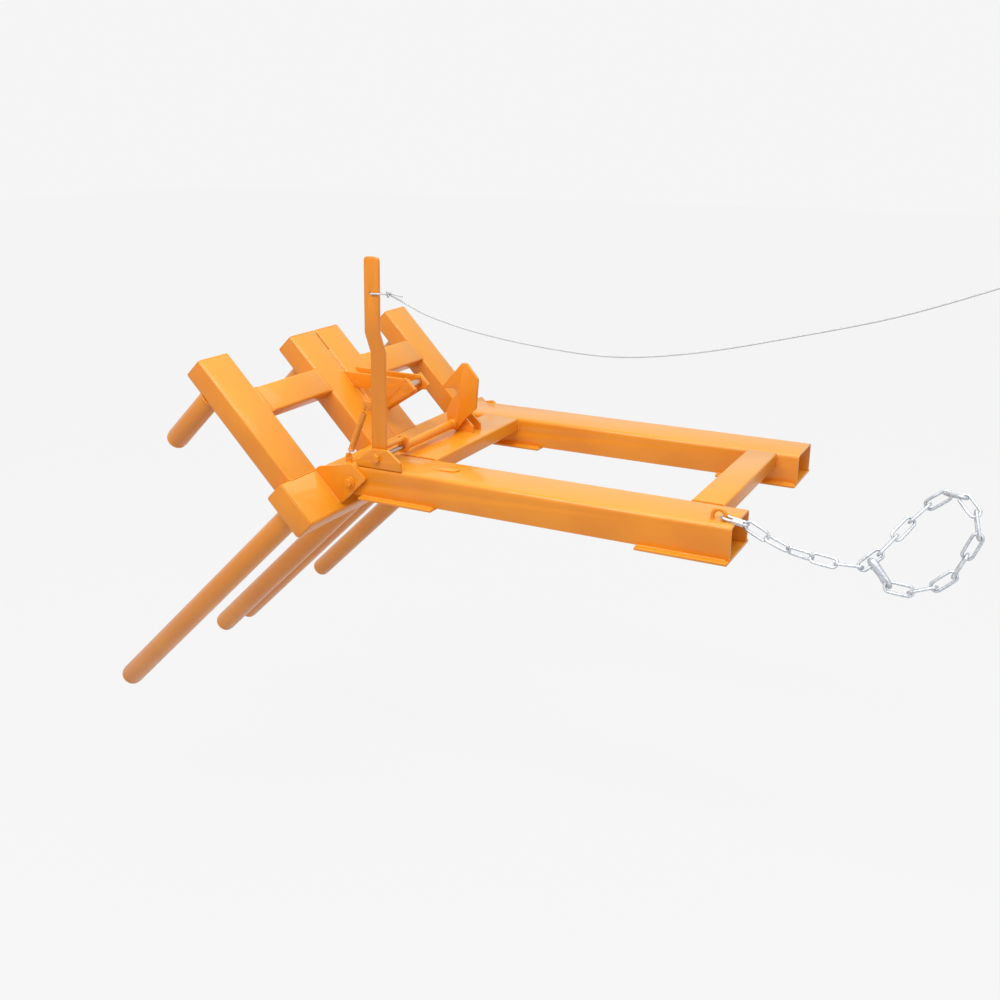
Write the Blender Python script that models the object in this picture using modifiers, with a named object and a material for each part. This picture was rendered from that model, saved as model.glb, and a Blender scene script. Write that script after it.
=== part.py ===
"""Drum turner for a forklift: a fork-pocket frame, a hinged cradle that tips two
drums through 90 degrees, and a rope-pulled latch. Metres, +Z up, +X towards the truck.
The origin lies midway between the pockets, at their rear mouths, on the underside of
their roofs, which is where the two forks carry the whole turner."""
import bpy
import bmesh
from math import acos, atan2, cos, pi, radians, sin, sqrt
from mathutils import Matrix, Vector

# Fits: pieces welded or clamped together keep a hairline, moving pieces a running gap
HAIRLINE = 0.0003
BOLT_FIT = 0.0003
RUNNING_GAP = 0.001

# Fork pockets: folded channels, open below, closed by two straps each
POCKET_LENGTH = 1.255
POCKET_WIDTH = 0.170
POCKET_HEIGHT = 0.097
POCKET_WALL = 0.006
POCKET_BEND = 0.014
POCKET_CENTRE_Y = 0.373
STRAP_LENGTH = 0.265
STRAP_THICKNESS = 0.008
STRAP_LIP = 0.022
FRONT_STRAP_SETBACK = 0.069
REAR_STRAP_SETBACK = 0.001

# Cross tubes of the fork frame
CROSS_HEIGHT = 0.050
CROSS_WALL = 0.005
CROSS_BEND = 0.008
FRONT_CROSS_WIDTH = 0.140
FRONT_CROSS_BEHIND_PIVOT = 0.139
REAR_CROSS_WIDTH = 0.100
REAR_CROSS_SETBACK = 0.120

# Cradle pivot, and how far the cradle leans forward in the modelled pose
PIVOT_FROM_FRONT = 0.035
PIVOT_BELOW_TOP = 0.055
CRADLE_LEAN = radians(43.7)
PIVOT_BOLT_RADIUS = 0.012
PIVOT_HEAD_RADIUS = 0.0205
PIVOT_HEAD_THICKNESS = 0.015
PIVOT_WASHER_RADIUS = 0.022
PIVOT_WASHER_THICKNESS = 0.004
LUG_THICKNESS = 0.012
LUG_TOP_ABOVE_PIVOT = 0.036
LUG_BELOW_PIVOT = 0.030
LUG_BEHIND_PIVOT = 0.055
LUG_ROOT_HEIGHT = 0.107

# Cradle frame, sizes given as it stands upright
CRADLE_FACE_AHEAD = 0.081
TUBE_DEPTH = 0.080
TUBE_WALL = 0.005
TUBE_BEND = 0.010
LOWER_TUBE_LENGTH = 1.280
LOWER_TUBE_HEIGHT = 0.160
LOWER_TUBE_BELOW_PIVOT = 0.050
RAIL_WIDTH = 0.140
RAIL_TOP = 0.580
RAIL_SET_IN = 0.041
END_CAP_THICKNESS = 0.004
END_CAP_INSET = 0.003
BRIDGE_HEIGHT = 0.100
BRIDGE_DEPTH = 0.050
BRIDGE_WALL = 0.004
BRIDGE_ABOVE_PIVOT = 0.392

# Tines: round tubes with a welded, domed nose
TINE_WALL = 0.004
LONG_TINE_RADIUS = 0.038
LONG_TINE_LENGTH = 1.130
LONG_TINE_SET_IN = 0.060
SHORT_TINE_RADIUS = 0.035
SHORT_TINE_LENGTH = 0.250
SHORT_TINE_SET_IN = 0.076
SHORT_TINE_ABOVE_PIVOT = 0.487
INNER_TINE_Y = 0.070
NOSE_LENGTH = 0.026
NOSE_GROOVE = 0.002

# Latch shaft and the plates that carry it
SHAFT_BEHIND_PIVOT = 0.096
SHAFT_ABOVE_TOP = 0.032
SHAFT_RADIUS = 0.008
SHAFT_HEAD_RADIUS = 0.0135
SHAFT_HEAD_THICKNESS = 0.010
PLATE_THICKNESS = 0.010
CRANK_Y = -0.304
CRANK_THICKNESS = 0.010
CRANK_WIDTH = 0.036
CRANK_HEIGHT = 0.056
CRANK_TOP = 0.036
DRIVE_PIN_RADIUS = 0.008
DRIVE_PIN_HEIGHT = 0.025
BEARING_THICKNESS = 0.008
BEARING_SPACING = 0.050
TORSION_TUBE_RADIUS = 0.0135
COLLAR_RADIUS = 0.0165
COLLAR_LENGTH = 0.012

# Lever: a flat bar with a joggle that brings its upper half outwards
LEVER_WIDTH = 0.050
LEVER_THICKNESS = 0.012
LEVER_HEIGHT = 0.616
LEVER_LEAN = radians(1.6)
LEVER_BEND_BELOW = 0.328
LEVER_BEND_ABOVE = 0.393
LEVER_JOGGLE = 0.030
LEVER_GAP = 0.002
ROPE_HOLE_BELOW_TOP = 0.106
ROPE_HOLE_RADIUS = 0.006
SPRING_TAB_HEIGHT = 0.158
SPRING_TAB_REACH = 0.034
SPRING_TAB_SIZE = 0.030
SPRING_TAB_THICKNESS = 0.006

# Hook plate and the catch that it holds
HOOK_Y = 0.022
HOOK_THICKNESS = 0.012
CATCH_BEHIND_PIVOT = 0.0945
CATCH_ABOVE_PIVOT = 0.195
CATCH_PIN_RADIUS = 0.0125
CATCH_FIT = 0.002
CATCH_HALF_GAP = 0.036
CATCH_PLATE = 0.008
CATCH_END = 0.0225
ARM_WIDTH = 0.050
ARM_FOOT_ABOVE_PIVOT = 0.3645
POST_WIDTH = 0.055
POST_FOOT_ABOVE_PIVOT = 0.229
PIN_HEAD_RADIUS = 0.0165
PIN_HEAD_THICKNESS = 0.003

# Return spring
SPRING_RADIUS = 0.0085
SPRING_WIRE = 0.0013
SPRING_TURNS = 22
SPRING_HOOK = 0.026
SPRING_STAND_OFF = 0.017
EYE_HOLE_RADIUS = 0.0035
ANCHOR_AHEAD_OF_PIVOT = 0.020
ANCHOR_WIDTH = 0.022
ANCHOR_HEIGHT = 0.030
ANCHOR_THICKNESS = 0.006
ANCHOR_HOLE_HEIGHT = 0.018

# Safety chain
EYE_BAR_RADIUS = 0.0055
EYE_BEND_RADIUS = 0.0135
EYE_SETBACK = 0.049
EYE_Y = -0.413
EYE_LEG = 0.0115
QUICK_LINK_WIRE = 0.0035
QUICK_LINK_LENGTH = 0.078
QUICK_LINK_WIDTH = 0.024
QUICK_LINK_NUT = 0.018
QUICK_LINK_NUT_SHIFT = 0.0185
QUICK_LINK_DROOP = radians(8.6)
QUICK_LINK_RISE = 0.0107
LINK_WIRE = 0.0037
LINK_PITCH = 0.0625
LINK_WIDTH = 0.025
LINK_NIP = 0.0010
END_SLACK = 0.0004
RUN_LINKS = 5
SNAP_WIRE = 0.004
SNAP_WIDTH = 0.034
SNAP_TURN = radians(15)
SNAP_NOSE_END = 0.022
SNAP_GATE_ROOT = 0.057
SNAP_GATE_RADIUS = 0.003
SNAP_SLACK = 0.0015

# Rope
ROPE_RADIUS = 0.0025
KNOT_RADIUS = 0.0085
KNOT_STRETCH = 1.25
KNOT_FROM_HOLE = 0.056
HAND_LOOP_RADIUS = 0.045
HAND_LOOP_STEPS = 30
ROPE_STEPS = 50

# Pad welded on the near pocket
PAD_LENGTH = 0.060
PAD_WIDTH = 0.026
PAD_THICKNESS = 0.003
PAD_BEHIND_PIVOT = 0.310
PAD_FROM_OUTER_EDGE = 0.095

# Fineness of round shapes
ROUND_STEPS = 24
TINE_STEPS = 20
ARC_STEPS = 4

# Places worked out from the sizes above
POCKET_TOP = POCKET_WALL
POCKET_SIDE_BOTTOM = POCKET_TOP - POCKET_HEIGHT
POCKET_FRONT_X = -POCKET_LENGTH
POCKET_OUTER_Y = POCKET_CENTRE_Y + POCKET_WIDTH / 2
POCKET_INNER_Y = POCKET_CENTRE_Y - POCKET_WIDTH / 2
PIVOT = Vector((POCKET_FRONT_X + PIVOT_FROM_FRONT, 0, POCKET_TOP - PIVOT_BELOW_TOP))
SHAFT = Vector((PIVOT.x + SHAFT_BEHIND_PIVOT, 0, POCKET_TOP + SHAFT_ABOVE_TOP))
ROPE_HOLE_HEIGHT = LEVER_HEIGHT - ROPE_HOLE_BELOW_TOP
RAIL_OUTER_Y = LOWER_TUBE_LENGTH / 2 - RAIL_SET_IN
LONG_TINE_OUTER_Y = LOWER_TUBE_LENGTH / 2 - LONG_TINE_SET_IN
SHORT_TINE_OUTER_Y = LOWER_TUBE_LENGTH / 2 - SHORT_TINE_SET_IN
LOWER_TUBE_MIDDLE = LOWER_TUBE_HEIGHT / 2 - LOWER_TUBE_BELOW_PIVOT
LOWER_TUBE_TOP = LOWER_TUBE_HEIGHT - LOWER_TUBE_BELOW_PIVOT
RAIL_LENGTH = RAIL_TOP - LOWER_TUBE_TOP - HAIRLINE
TINE_ROOT_X = -CRADLE_FACE_AHEAD - TUBE_DEPTH - HAIRLINE
LUG_INNER_Y = POCKET_OUTER_Y + RUNNING_GAP
OUTER_PLATE_Y = -(POCKET_OUTER_Y - PLATE_THICKNESS / 2)
LEVER_Y = OUTER_PLATE_Y + PLATE_THICKNESS / 2 + LEVER_GAP + LEVER_THICKNESS / 2
NEAR_BEARING_Y = HOOK_Y + HOOK_THICKNESS / 2 + 0.012
FAR_BEARING_Y = NEAR_BEARING_Y + BEARING_SPACING
CATCH = Vector((CATCH_BEHIND_PIVOT, 0, CATCH_ABOVE_PIVOT))

# Turns that lay an XY outline into another plane
FACING_Y = Matrix.Rotation(pi / 2, 4, "X")
FACING_X = Matrix.Rotation(pi / 2, 4, "Z") @ FACING_Y


# Scene and materials

def clear_scene():
    for item in list(bpy.data.objects):
        bpy.data.objects.remove(item, do_unlink=True)


def new_collection(name):
    collection = bpy.data.collections.new(name)
    bpy.context.scene.collection.children.link(collection)
    return collection


def paint(name, colour, roughness, metallic):
    material = bpy.data.materials.new(name)
    material.use_nodes = True
    shader = material.node_tree.nodes["Principled BSDF"]
    shader.inputs["Base Color"].default_value = (*colour, 1.0)
    shader.inputs["Roughness"].default_value = roughness
    shader.inputs["Metallic"].default_value = metallic
    return material


clear_scene()
PARTS = new_collection("drum_turner")
CUTTERS = new_collection("cutters")


def orange(name):
    return paint(name + "_paint", (0.84, 0.27, 0.022), 0.38, 0.0)


def cord(name):
    return paint(name + "_cord", (0.66, 0.65, 0.60), 0.8, 0.0)


def zinc(name):
    return paint(name + "_zinc", (0.62, 0.63, 0.62), 0.32, 0.9)


def steel(name):
    return paint(name + "_steel", (0.55, 0.52, 0.46), 0.3, 0.95)


# Outlines

def arc(centre, radius, start, end, steps=ARC_STEPS):
    """Points on an arc about centre, from angle start to angle end."""
    points = []
    for i in range(steps + 1):
        angle = start + (end - start) * i / steps
        points.append((centre[0] + radius * cos(angle), centre[1] + radius * sin(angle)))
    return points


def circle(centre, radius, steps=ROUND_STEPS):
    return arc(centre, radius, 0, 2 * pi * (steps - 1) / steps, steps - 1)


def rounded_box(width, height, radius):
    points = []
    for quarter, (sx, sy) in enumerate(((1, 1), (-1, 1), (-1, -1), (1, -1))):
        centre = (sx * (width / 2 - radius), sy * (height / 2 - radius))
        points += arc(centre, radius, quarter * pi / 2, (quarter + 1) * pi / 2)
    return points


def filleted(corners):
    """A closed outline; each corner is (x, y, radius), and radius 0 keeps it sharp."""
    points = []
    count = len(corners)
    for i, (x, y, radius) in enumerate(corners):
        here = Vector((x, y))
        before = (Vector(corners[i - 1][:2]) - here).normalized()
        after = (Vector(corners[(i + 1) % count][:2]) - here).normalized()
        if radius == 0:
            points.append((x, y))
            continue
        half = acos(max(-1.0, min(1.0, before.dot(after)))) / 2
        reach = radius * cos(half) / sin(half)
        middle = here + (before + after).normalized() * (radius / sin(half))
        first = here + before * reach - middle
        last = here + after * reach - middle
        start = atan2(first.y, first.x)
        sweep = (atan2(last.y, last.x) - start + pi) % (2 * pi) - pi
        points += arc(middle, radius, start, start + sweep)
    return points


# Solids

def as_mesh(item, name):
    """The evaluated mesh of a curve or a modified object, welded; the item is removed."""
    bpy.context.view_layer.update()
    evaluated = item.evaluated_get(bpy.context.evaluated_depsgraph_get())
    mesh = bpy.data.meshes.new_from_object(evaluated)
    mesh.name = name
    mesh.transform(item.matrix_world)
    bpy.data.objects.remove(item, do_unlink=True)
    body = bmesh.new()
    body.from_mesh(mesh)
    bmesh.ops.remove_doubles(body, verts=body.verts, dist=0.00002)
    bmesh.ops.recalc_face_normals(body, faces=body.faces)
    body.to_mesh(mesh)
    body.free()
    return mesh


def smooth(mesh, angle=35):
    mesh.shade_smooth()
    mesh.set_sharp_from_angle(angle=radians(angle))


def outline_mesh(name, loops, thickness, turn=Matrix()):
    """A flat piece of even thickness from a closed outline and its holes."""
    curve = bpy.data.curves.new(name, "CURVE")
    curve.dimensions = "2D"
    curve.fill_mode = "BOTH"
    curve.extrude = thickness / 2
    for loop in loops:
        spline = curve.splines.new("POLY")
        spline.points.add(len(loop) - 1)
        for point, (x, y) in zip(spline.points, loop):
            point.co = (x, y, 0, 1)
        spline.use_cyclic_u = True
    item = bpy.data.objects.new(name, curve)
    CUTTERS.objects.link(item)
    item.matrix_world = turn
    mesh = as_mesh(item, name)
    smooth(mesh)
    return mesh


def wire_mesh(name, points, radius, closed=False, resolution=1):
    """A round bar or wire through the given points."""
    curve = bpy.data.curves.new(name, "CURVE")
    curve.dimensions = "3D"
    curve.bevel_depth = radius
    curve.bevel_resolution = resolution
    curve.use_fill_caps = not closed
    curve.twist_mode = "MINIMUM"
    spline = curve.splines.new("POLY")
    spline.points.add(len(points) - 1)
    for point, place in zip(spline.points, points):
        point.co = (*place, 1)
    spline.use_cyclic_u = closed
    item = bpy.data.objects.new(name, curve)
    CUTTERS.objects.link(item)
    mesh = as_mesh(item, name)
    smooth(mesh, 50)
    return mesh


def turned_mesh(name, profile, steps, turn=Matrix()):
    """A solid of revolution: (radius, height) pairs that run down the outer side."""
    mesh = bpy.data.meshes.new(name)
    edges = [(i, i + 1) for i in range(len(profile) - 1)]
    mesh.from_pydata([(radius, 0, height) for radius, height in profile], edges, [])
    item = bpy.data.objects.new(name, mesh)
    CUTTERS.objects.link(item)
    screw = item.modifiers.new("turn", "SCREW")
    screw.steps = steps
    screw.render_steps = steps
    screw.use_merge_vertices = True
    screw.merge_threshold = 0.00002
    item.matrix_world = turn
    turned = as_mesh(item, name)
    smooth(turned)
    return turned


def prism_mesh(name, radius, length, sides, turn):
    """A prism with its axis along Z before the turn, such as a hexagon head."""
    body = bmesh.new()
    bmesh.ops.create_cone(body, cap_ends=True, segments=sides, radius1=radius,
                          radius2=radius, depth=length, matrix=turn)
    mesh = bpy.data.meshes.new(name)
    body.to_mesh(mesh)
    body.free()
    return mesh


def combine(name, base, others, operation):
    """Boolean of one mesh with each of the others in turn."""
    for other in others:
        subject = bpy.data.objects.new(name, base)
        PARTS.objects.link(subject)
        cutter = bpy.data.objects.new(name + "_cutter", other)
        CUTTERS.objects.link(cutter)
        cutter.hide_render = True
        cutter.display_type = "WIRE"
        boolean = subject.modifiers.new("shape", "BOOLEAN")
        boolean.operation = operation
        boolean.solver = "EXACT"
        boolean.object = cutter
        base = as_mesh(subject, name)
        bpy.data.objects.remove(cutter, do_unlink=True)
    smooth(base)
    return base


def empty(name, place, turn_about_y=0.0):
    item = bpy.data.objects.new(name, None)
    PARTS.objects.link(item)
    item.location = place
    item.rotation_euler = (0, turn_about_y, 0)
    return item


def place(name, mesh, material, parent=None, location=(0, 0, 0), rotation=(0, 0, 0)):
    """The finished sub-part, set at its place under its parent."""
    item = bpy.data.objects.new(name, mesh)
    mesh.materials.clear()
    mesh.materials.append(material)
    PARTS.objects.link(item)
    item.parent = parent
    item.location = location
    item.rotation_euler = rotation
    return item


def hole_cutter(name, radius, x, z, length=1.0, y=0.0):
    """A round cutter along Y."""
    turn = Matrix.Translation((x, y, z)) @ FACING_Y
    return prism_mesh(name, radius, length, ROUND_STEPS, turn)


# Fork frame

def pocket(name, side):
    """Channel section across Y, open below, folded from one sheet."""
    half = POCKET_WIDTH / 2
    inner = half - POCKET_WALL
    inner_bend = POCKET_BEND - POCKET_WALL
    corners = [(half, 0, 0), (half, POCKET_HEIGHT, POCKET_BEND),
               (-half, POCKET_HEIGHT, POCKET_BEND), (-half, 0, 0), (-inner, 0, 0),
               (-inner, POCKET_HEIGHT - POCKET_WALL, inner_bend),
               (inner, POCKET_HEIGHT - POCKET_WALL, inner_bend), (inner, 0, 0)]
    channel = outline_mesh(name, [filleted(corners)], POCKET_LENGTH, FACING_X)
    pivot_hole = hole_cutter("pivot_hole", PIVOT_BOLT_RADIUS + BOLT_FIT,
                             PIVOT_FROM_FRONT - POCKET_LENGTH / 2, POCKET_HEIGHT - PIVOT_BELOW_TOP)
    channel = combine(name, channel, [pivot_hole], "DIFFERENCE")
    where = (-POCKET_LENGTH / 2, side * POCKET_CENTRE_Y, POCKET_SIDE_BOTTOM)
    place(name, channel, orange(name), location=where)


def strap(name, side, front_x):
    """Flat plate that closes the pocket below, lipping out past both walls."""
    width = POCKET_WIDTH + 2 * STRAP_LIP
    plate = outline_mesh(name, [filleted([(STRAP_LENGTH, width / 2, 0.004), (0, width / 2, 0.004),
                                          (0, -width / 2, 0.004), (STRAP_LENGTH, -width / 2, 0.004)])],
                         STRAP_THICKNESS)
    height = POCKET_SIDE_BOTTOM - HAIRLINE - STRAP_THICKNESS / 2
    place(name, plate, orange(name), location=(front_x, side * POCKET_CENTRE_Y, height))


def cross_tube(name, width, centre_x):
    """Hollow section between the two pockets, flush with their tops."""
    length = 2 * (POCKET_INNER_Y - HAIRLINE)
    outer = rounded_box(width, CROSS_HEIGHT, CROSS_BEND)
    inner = rounded_box(width - 2 * CROSS_WALL, CROSS_HEIGHT - 2 * CROSS_WALL, CROSS_BEND - CROSS_WALL)
    tube = outline_mesh(name, [outer, inner], length, FACING_Y)
    place(name, tube, orange(name), location=(centre_x, 0, POCKET_TOP - CROSS_HEIGHT / 2))


def pivot_bolt(name, side):
    """Bolt through the lug and both pocket walls, with a washer and a hexagon at each end."""
    outside = LUG_INNER_Y + LUG_THICKNESS + HAIRLINE
    inside = POCKET_INNER_Y - HAIRLINE
    washer = PIVOT_WASHER_THICKNESS
    reach = washer + PIVOT_HEAD_THICKNESS
    solids = []
    shank = (PIVOT_BOLT_RADIUS, inside - reach + 0.002, outside + reach - 0.002, ROUND_STEPS)
    for radius, start, end, sides in (shank,
                                      (PIVOT_WASHER_RADIUS, outside, outside + washer, ROUND_STEPS),
                                      (PIVOT_WASHER_RADIUS, inside - washer, inside, ROUND_STEPS),
                                      (PIVOT_HEAD_RADIUS, outside + washer / 2, outside + reach, 6),
                                      (PIVOT_HEAD_RADIUS, inside - reach, inside - washer / 2, 6)):
        turn = Matrix.Translation((0, side * (start + end) / 2, 0)) @ FACING_Y
        solids.append(prism_mesh(name, radius, end - start, sides, turn))
    bolt = combine(name, solids[0], solids[1:], "UNION")
    place(name, bolt, orange(name), location=PIVOT)


def pad(name):
    """Flat round-ended plate welded on the near pocket."""
    radius = PAD_WIDTH / 2
    straight = PAD_LENGTH - radius
    outline = [(0, radius), (0, -radius)] + arc((straight, 0), radius, -pi / 2, pi / 2, 8)
    plate = outline_mesh(name, [outline], PAD_THICKNESS)
    where = (PIVOT.x + PAD_BEHIND_PIVOT - straight, -POCKET_OUTER_Y + PAD_FROM_OUTER_EDGE,
             POCKET_TOP + HAIRLINE + PAD_THICKNESS / 2)
    place(name, plate, orange(name), location=where)


# Latch carriers on the fork frame

def shaft_plate(name, corners, y, thickness):
    """Plate across Y, its corners measured from the latch shaft, bored for the shaft."""
    loops = [filleted(corners), circle((0, 0), SHAFT_RADIUS + BOLT_FIT)]
    plate = outline_mesh(name, loops, thickness, FACING_Y)
    place(name, plate, orange(name), location=SHAFT + Vector((0, y, 0)))


def shaft_plates():
    seat = HAIRLINE - SHAFT_ABOVE_TOP
    outer = [(-0.076, seat, 0), (0.087, seat, 0), (0.085, -0.004, 0.004), (0.040, 0.030, 0.006),
             (-0.014, 0.030, 0.006), (-0.078, -0.018, 0.003)]
    bearing = [(-0.002, seat, 0), (0.066, seat, 0), (0.066, -0.008, 0.004), (0.028, 0.026, 0.006),
               (-0.008, 0.026, 0.004), (-0.020, 0.014, 0.004), (-0.020, -0.014, 0.004)]
    shaft_plate("latch_plate_outer", outer, OUTER_PLATE_Y, PLATE_THICKNESS)
    shaft_plate("hook_bearing_near", bearing, NEAR_BEARING_Y, BEARING_THICKNESS)
    shaft_plate("hook_bearing_far", bearing, FAR_BEARING_Y, BEARING_THICKNESS)


def spring_anchor(name):
    """Small plate on the near pocket's front end that holds the spring's lower hook."""
    half = ANCHOR_WIDTH / 2
    corners = [(half, 0, 0), (half, ANCHOR_HEIGHT, 0.008), (-half, ANCHOR_HEIGHT, 0.008), (-half, 0, 0)]
    loops = [filleted(corners), circle((0, ANCHOR_HOLE_HEIGHT), EYE_HOLE_RADIUS, 12)]
    plate = outline_mesh(name, loops, ANCHOR_THICKNESS, FACING_Y)
    where = (PIVOT.x - ANCHOR_AHEAD_OF_PIVOT, LEVER_Y, POCKET_TOP + HAIRLINE)
    place(name, plate, orange(name), location=where)


# Latch

def lever_side():
    """The bar seen along X: a strip with two bends, as (y, z) points."""
    half = LEVER_THICKNESS / 2
    shift = -LEVER_JOGGLE
    return [(half, -LEVER_WIDTH), (half, LEVER_BEND_BELOW), (half + shift, LEVER_BEND_ABOVE),
            (half + shift, LEVER_HEIGHT), (shift - half, LEVER_HEIGHT),
            (shift - half, LEVER_BEND_ABOVE), (-half, LEVER_BEND_BELOW), (-half, -LEVER_WIDTH)]


def lever(name, shaft):
    """Bar cut to its face outline: round top corners, a rope hole, and a foot whose
    front corner rests on the pocket when the latch is closed."""
    half = LEVER_WIDTH / 2
    foot = (SHAFT_ABOVE_TOP - HAIRLINE + half * sin(LEVER_LEAN)) / cos(LEVER_LEAN)
    heel = SHAFT_ABOVE_TOP - 0.002
    outline = [(-half, -foot)] + arc((0, 0), heel, -pi / 2, -acos(half / heel), 5)
    outline += filleted([(half, 0, 0), (half, LEVER_HEIGHT, 0.012), (-half, LEVER_HEIGHT, 0.012)])
    holes = [circle((0, 0), SHAFT_RADIUS + BOLT_FIT),
             circle((-0.001, ROPE_HOLE_HEIGHT), ROPE_HOLE_RADIUS, 16)]
    strip = outline_mesh(name, [lever_side()], LEVER_WIDTH + 0.01, FACING_X)
    face = outline_mesh("lever_face", [outline] + holes, 0.2, FACING_Y)
    bar = combine(name, strip, [face], "INTERSECT")
    place(name, bar, orange(name), shaft, (0, LEVER_Y, 0), (0, LEVER_LEAN, 0))


def spring_tab(name, shaft):
    """Square tab on the lever's front edge with the hole for the spring's upper hook."""
    root = -LEVER_WIDTH / 2 - HAIRLINE
    tip = root - SPRING_TAB_REACH
    low = SPRING_TAB_HEIGHT - SPRING_TAB_SIZE / 2
    high = SPRING_TAB_HEIGHT + SPRING_TAB_SIZE / 2
    corners = [(root, low, 0), (root, high, 0), (tip, high, 0.006), (tip, low, 0.006)]
    hole = circle((root - SPRING_TAB_REACH * 0.66, SPRING_TAB_HEIGHT - 0.004), EYE_HOLE_RADIUS, 12)
    tab = outline_mesh(name, [filleted(corners), hole], SPRING_TAB_THICKNESS, FACING_Y)
    place(name, tab, orange(name), shaft, (0, LEVER_Y, 0), (0, LEVER_LEAN, 0))


def crank_plate(name, shaft):
    """Plate at the torsion tube's near end, turned by the drive pin above the shaft."""
    half = CRANK_WIDTH / 2
    corners = [(half, CRANK_TOP - CRANK_HEIGHT, 0.008), (half, CRANK_TOP, 0.012),
               (-half, CRANK_TOP, 0.012), (-half, CRANK_TOP - CRANK_HEIGHT, 0.008)]
    loops = [filleted(corners), circle((0, 0), SHAFT_RADIUS + BOLT_FIT)]
    plate = outline_mesh(name, loops, CRANK_THICKNESS, FACING_Y)
    place(name, plate, orange(name), shaft, (0, CRANK_Y, 0))


def drive_pin(name, shaft):
    """Round bar from the lever to the crank plate, parallel to the shaft."""
    start = LEVER_Y + LEVER_THICKNESS / 2 + HAIRLINE
    end = CRANK_Y - CRANK_THICKNESS / 2 - HAIRLINE
    middle = Matrix.Translation((0, (start + end) / 2, 0)) @ FACING_Y
    bar = prism_mesh(name, DRIVE_PIN_RADIUS, end - start, ROUND_STEPS, middle)
    smooth(bar)
    place(name, bar, orange(name), shaft, (0, 0, DRIVE_PIN_HEIGHT))


def latch_shaft(name):
    """Fixed round shaft from the outer plate to the far bearing, a hexagon at each end."""
    near = -POCKET_OUTER_Y - HAIRLINE
    far = FAR_BEARING_Y + BEARING_THICKNESS / 2 + HAIRLINE
    middle = Matrix.Translation((0, (near + far) / 2, 0)) @ FACING_Y
    rod = prism_mesh(name, SHAFT_RADIUS, far - near + SHAFT_HEAD_THICKNESS, ROUND_STEPS, middle)
    heads = []
    for y in (near - SHAFT_HEAD_THICKNESS / 2, far + SHAFT_HEAD_THICKNESS / 2):
        turn = Matrix.Translation((0, y, 0)) @ FACING_Y
        heads.append(prism_mesh("head", SHAFT_HEAD_RADIUS, SHAFT_HEAD_THICKNESS, 6, turn))
    rod = combine(name, rod, heads, "UNION")
    place(name, rod, steel(name), location=SHAFT)


def torsion_tube(name, shaft):
    """Tube that carries the lever's turn across to the hook, with a collar at its near end."""
    start = CRANK_Y + CRANK_THICKNESS / 2 + HAIRLINE
    end = HOOK_Y - HOOK_THICKNESS / 2 - HAIRLINE
    bore = SHAFT_RADIUS + BOLT_FIT
    profile = [(bore, end), (TORSION_TUBE_RADIUS, end), (TORSION_TUBE_RADIUS, start + COLLAR_LENGTH),
               (COLLAR_RADIUS, start + COLLAR_LENGTH), (COLLAR_RADIUS, start), (bore, start), (bore, end)]
    tube = turned_mesh(name, profile, ROUND_STEPS, Matrix.Rotation(-pi / 2, 4, "X"))
    place(name, tube, orange(name), shaft)


def hook_outline():
    """Hook plate seen along Y, measured from the shaft. The notch follows the catch pin."""
    seat = CATCH + PIVOT - SHAFT
    notch = CATCH_PIN_RADIUS + CATCH_FIT
    lip = radians(-84)
    crown = radians(96)
    underside = (seat.x - 0.033, seat.z + notch - 0.003)
    points = arc((seat.x, seat.z), notch, lip, crown, 9)
    points += [underside, (underside[0] - 0.0055, underside[1] + 0.009)]
    points += filleted([(underside[0] + 0.006, underside[1] + 0.020, 0.004), (0.035, 0.2127, 0.006),
                        (0.053, 0.2135, 0.008), (0.096, 0.163, 0.006), (0.087, 0.060, 0.006),
                        (0.049, 0.025, 0.010), (0.006, 0.004 - SHAFT_ABOVE_TOP, 0.006),
                        (-0.024, 0.010, 0.008), (-0.026, 0.043, 0.012)])
    return points


def hook_plate(name, shaft):
    loops = [hook_outline(), circle((0, 0), SHAFT_RADIUS + BOLT_FIT)]
    plate = outline_mesh(name, loops, HOOK_THICKNESS, FACING_Y)
    place(name, plate, orange(name), shaft, (0, HOOK_Y, 0))


def spring_points():
    """Extension spring from the tab's hole to the anchor's hole, in the lever's plane."""
    tab_x = -LEVER_WIDTH / 2 - HAIRLINE - SPRING_TAB_REACH * 0.66
    tab_z = SPRING_TAB_HEIGHT - 0.004
    upper = SHAFT + Vector((tab_x * cos(LEVER_LEAN) + tab_z * sin(LEVER_LEAN), LEVER_Y,
                            tab_z * cos(LEVER_LEAN) - tab_x * sin(LEVER_LEAN)))
    lower = Vector((PIVOT.x - ANCHOR_AHEAD_OF_PIVOT, LEVER_Y, POCKET_TOP + HAIRLINE + ANCHOR_HOLE_HEIGHT))
    axis = (lower - upper).normalized()
    side = Vector((0, 1, 0))
    other = axis.cross(side)
    clear = SPRING_TAB_THICKNESS / 2 + SPRING_WIRE + 0.001
    seat = axis * (EYE_HOLE_RADIUS - SPRING_WIRE - HAIRLINE)
    upper += seat
    lower -= seat
    body = (lower - upper).length - 2 * SPRING_HOOK
    start = upper + axis * SPRING_HOOK
    end = lower - axis * SPRING_HOOK
    points = [upper + side * clear, upper - side * clear, upper - side * clear + axis * SPRING_STAND_OFF,
              start - axis * 0.003]
    per_turn = 9
    for i in range(SPRING_TURNS * per_turn + 1):
        angle = 2 * pi * i / per_turn
        along = start + axis * (body * i / (SPRING_TURNS * per_turn))
        points.append(along + (side * -cos(angle) + other * sin(angle)) * SPRING_RADIUS)
    points += [end + axis * 0.003, lower - side * clear - axis * SPRING_STAND_OFF, lower - side * clear,
               lower + side * clear]
    return points


def return_spring(name):
    coil = wire_mesh(name, spring_points(), SPRING_WIRE)
    place(name, coil, zinc(name))


# Cradle

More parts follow.
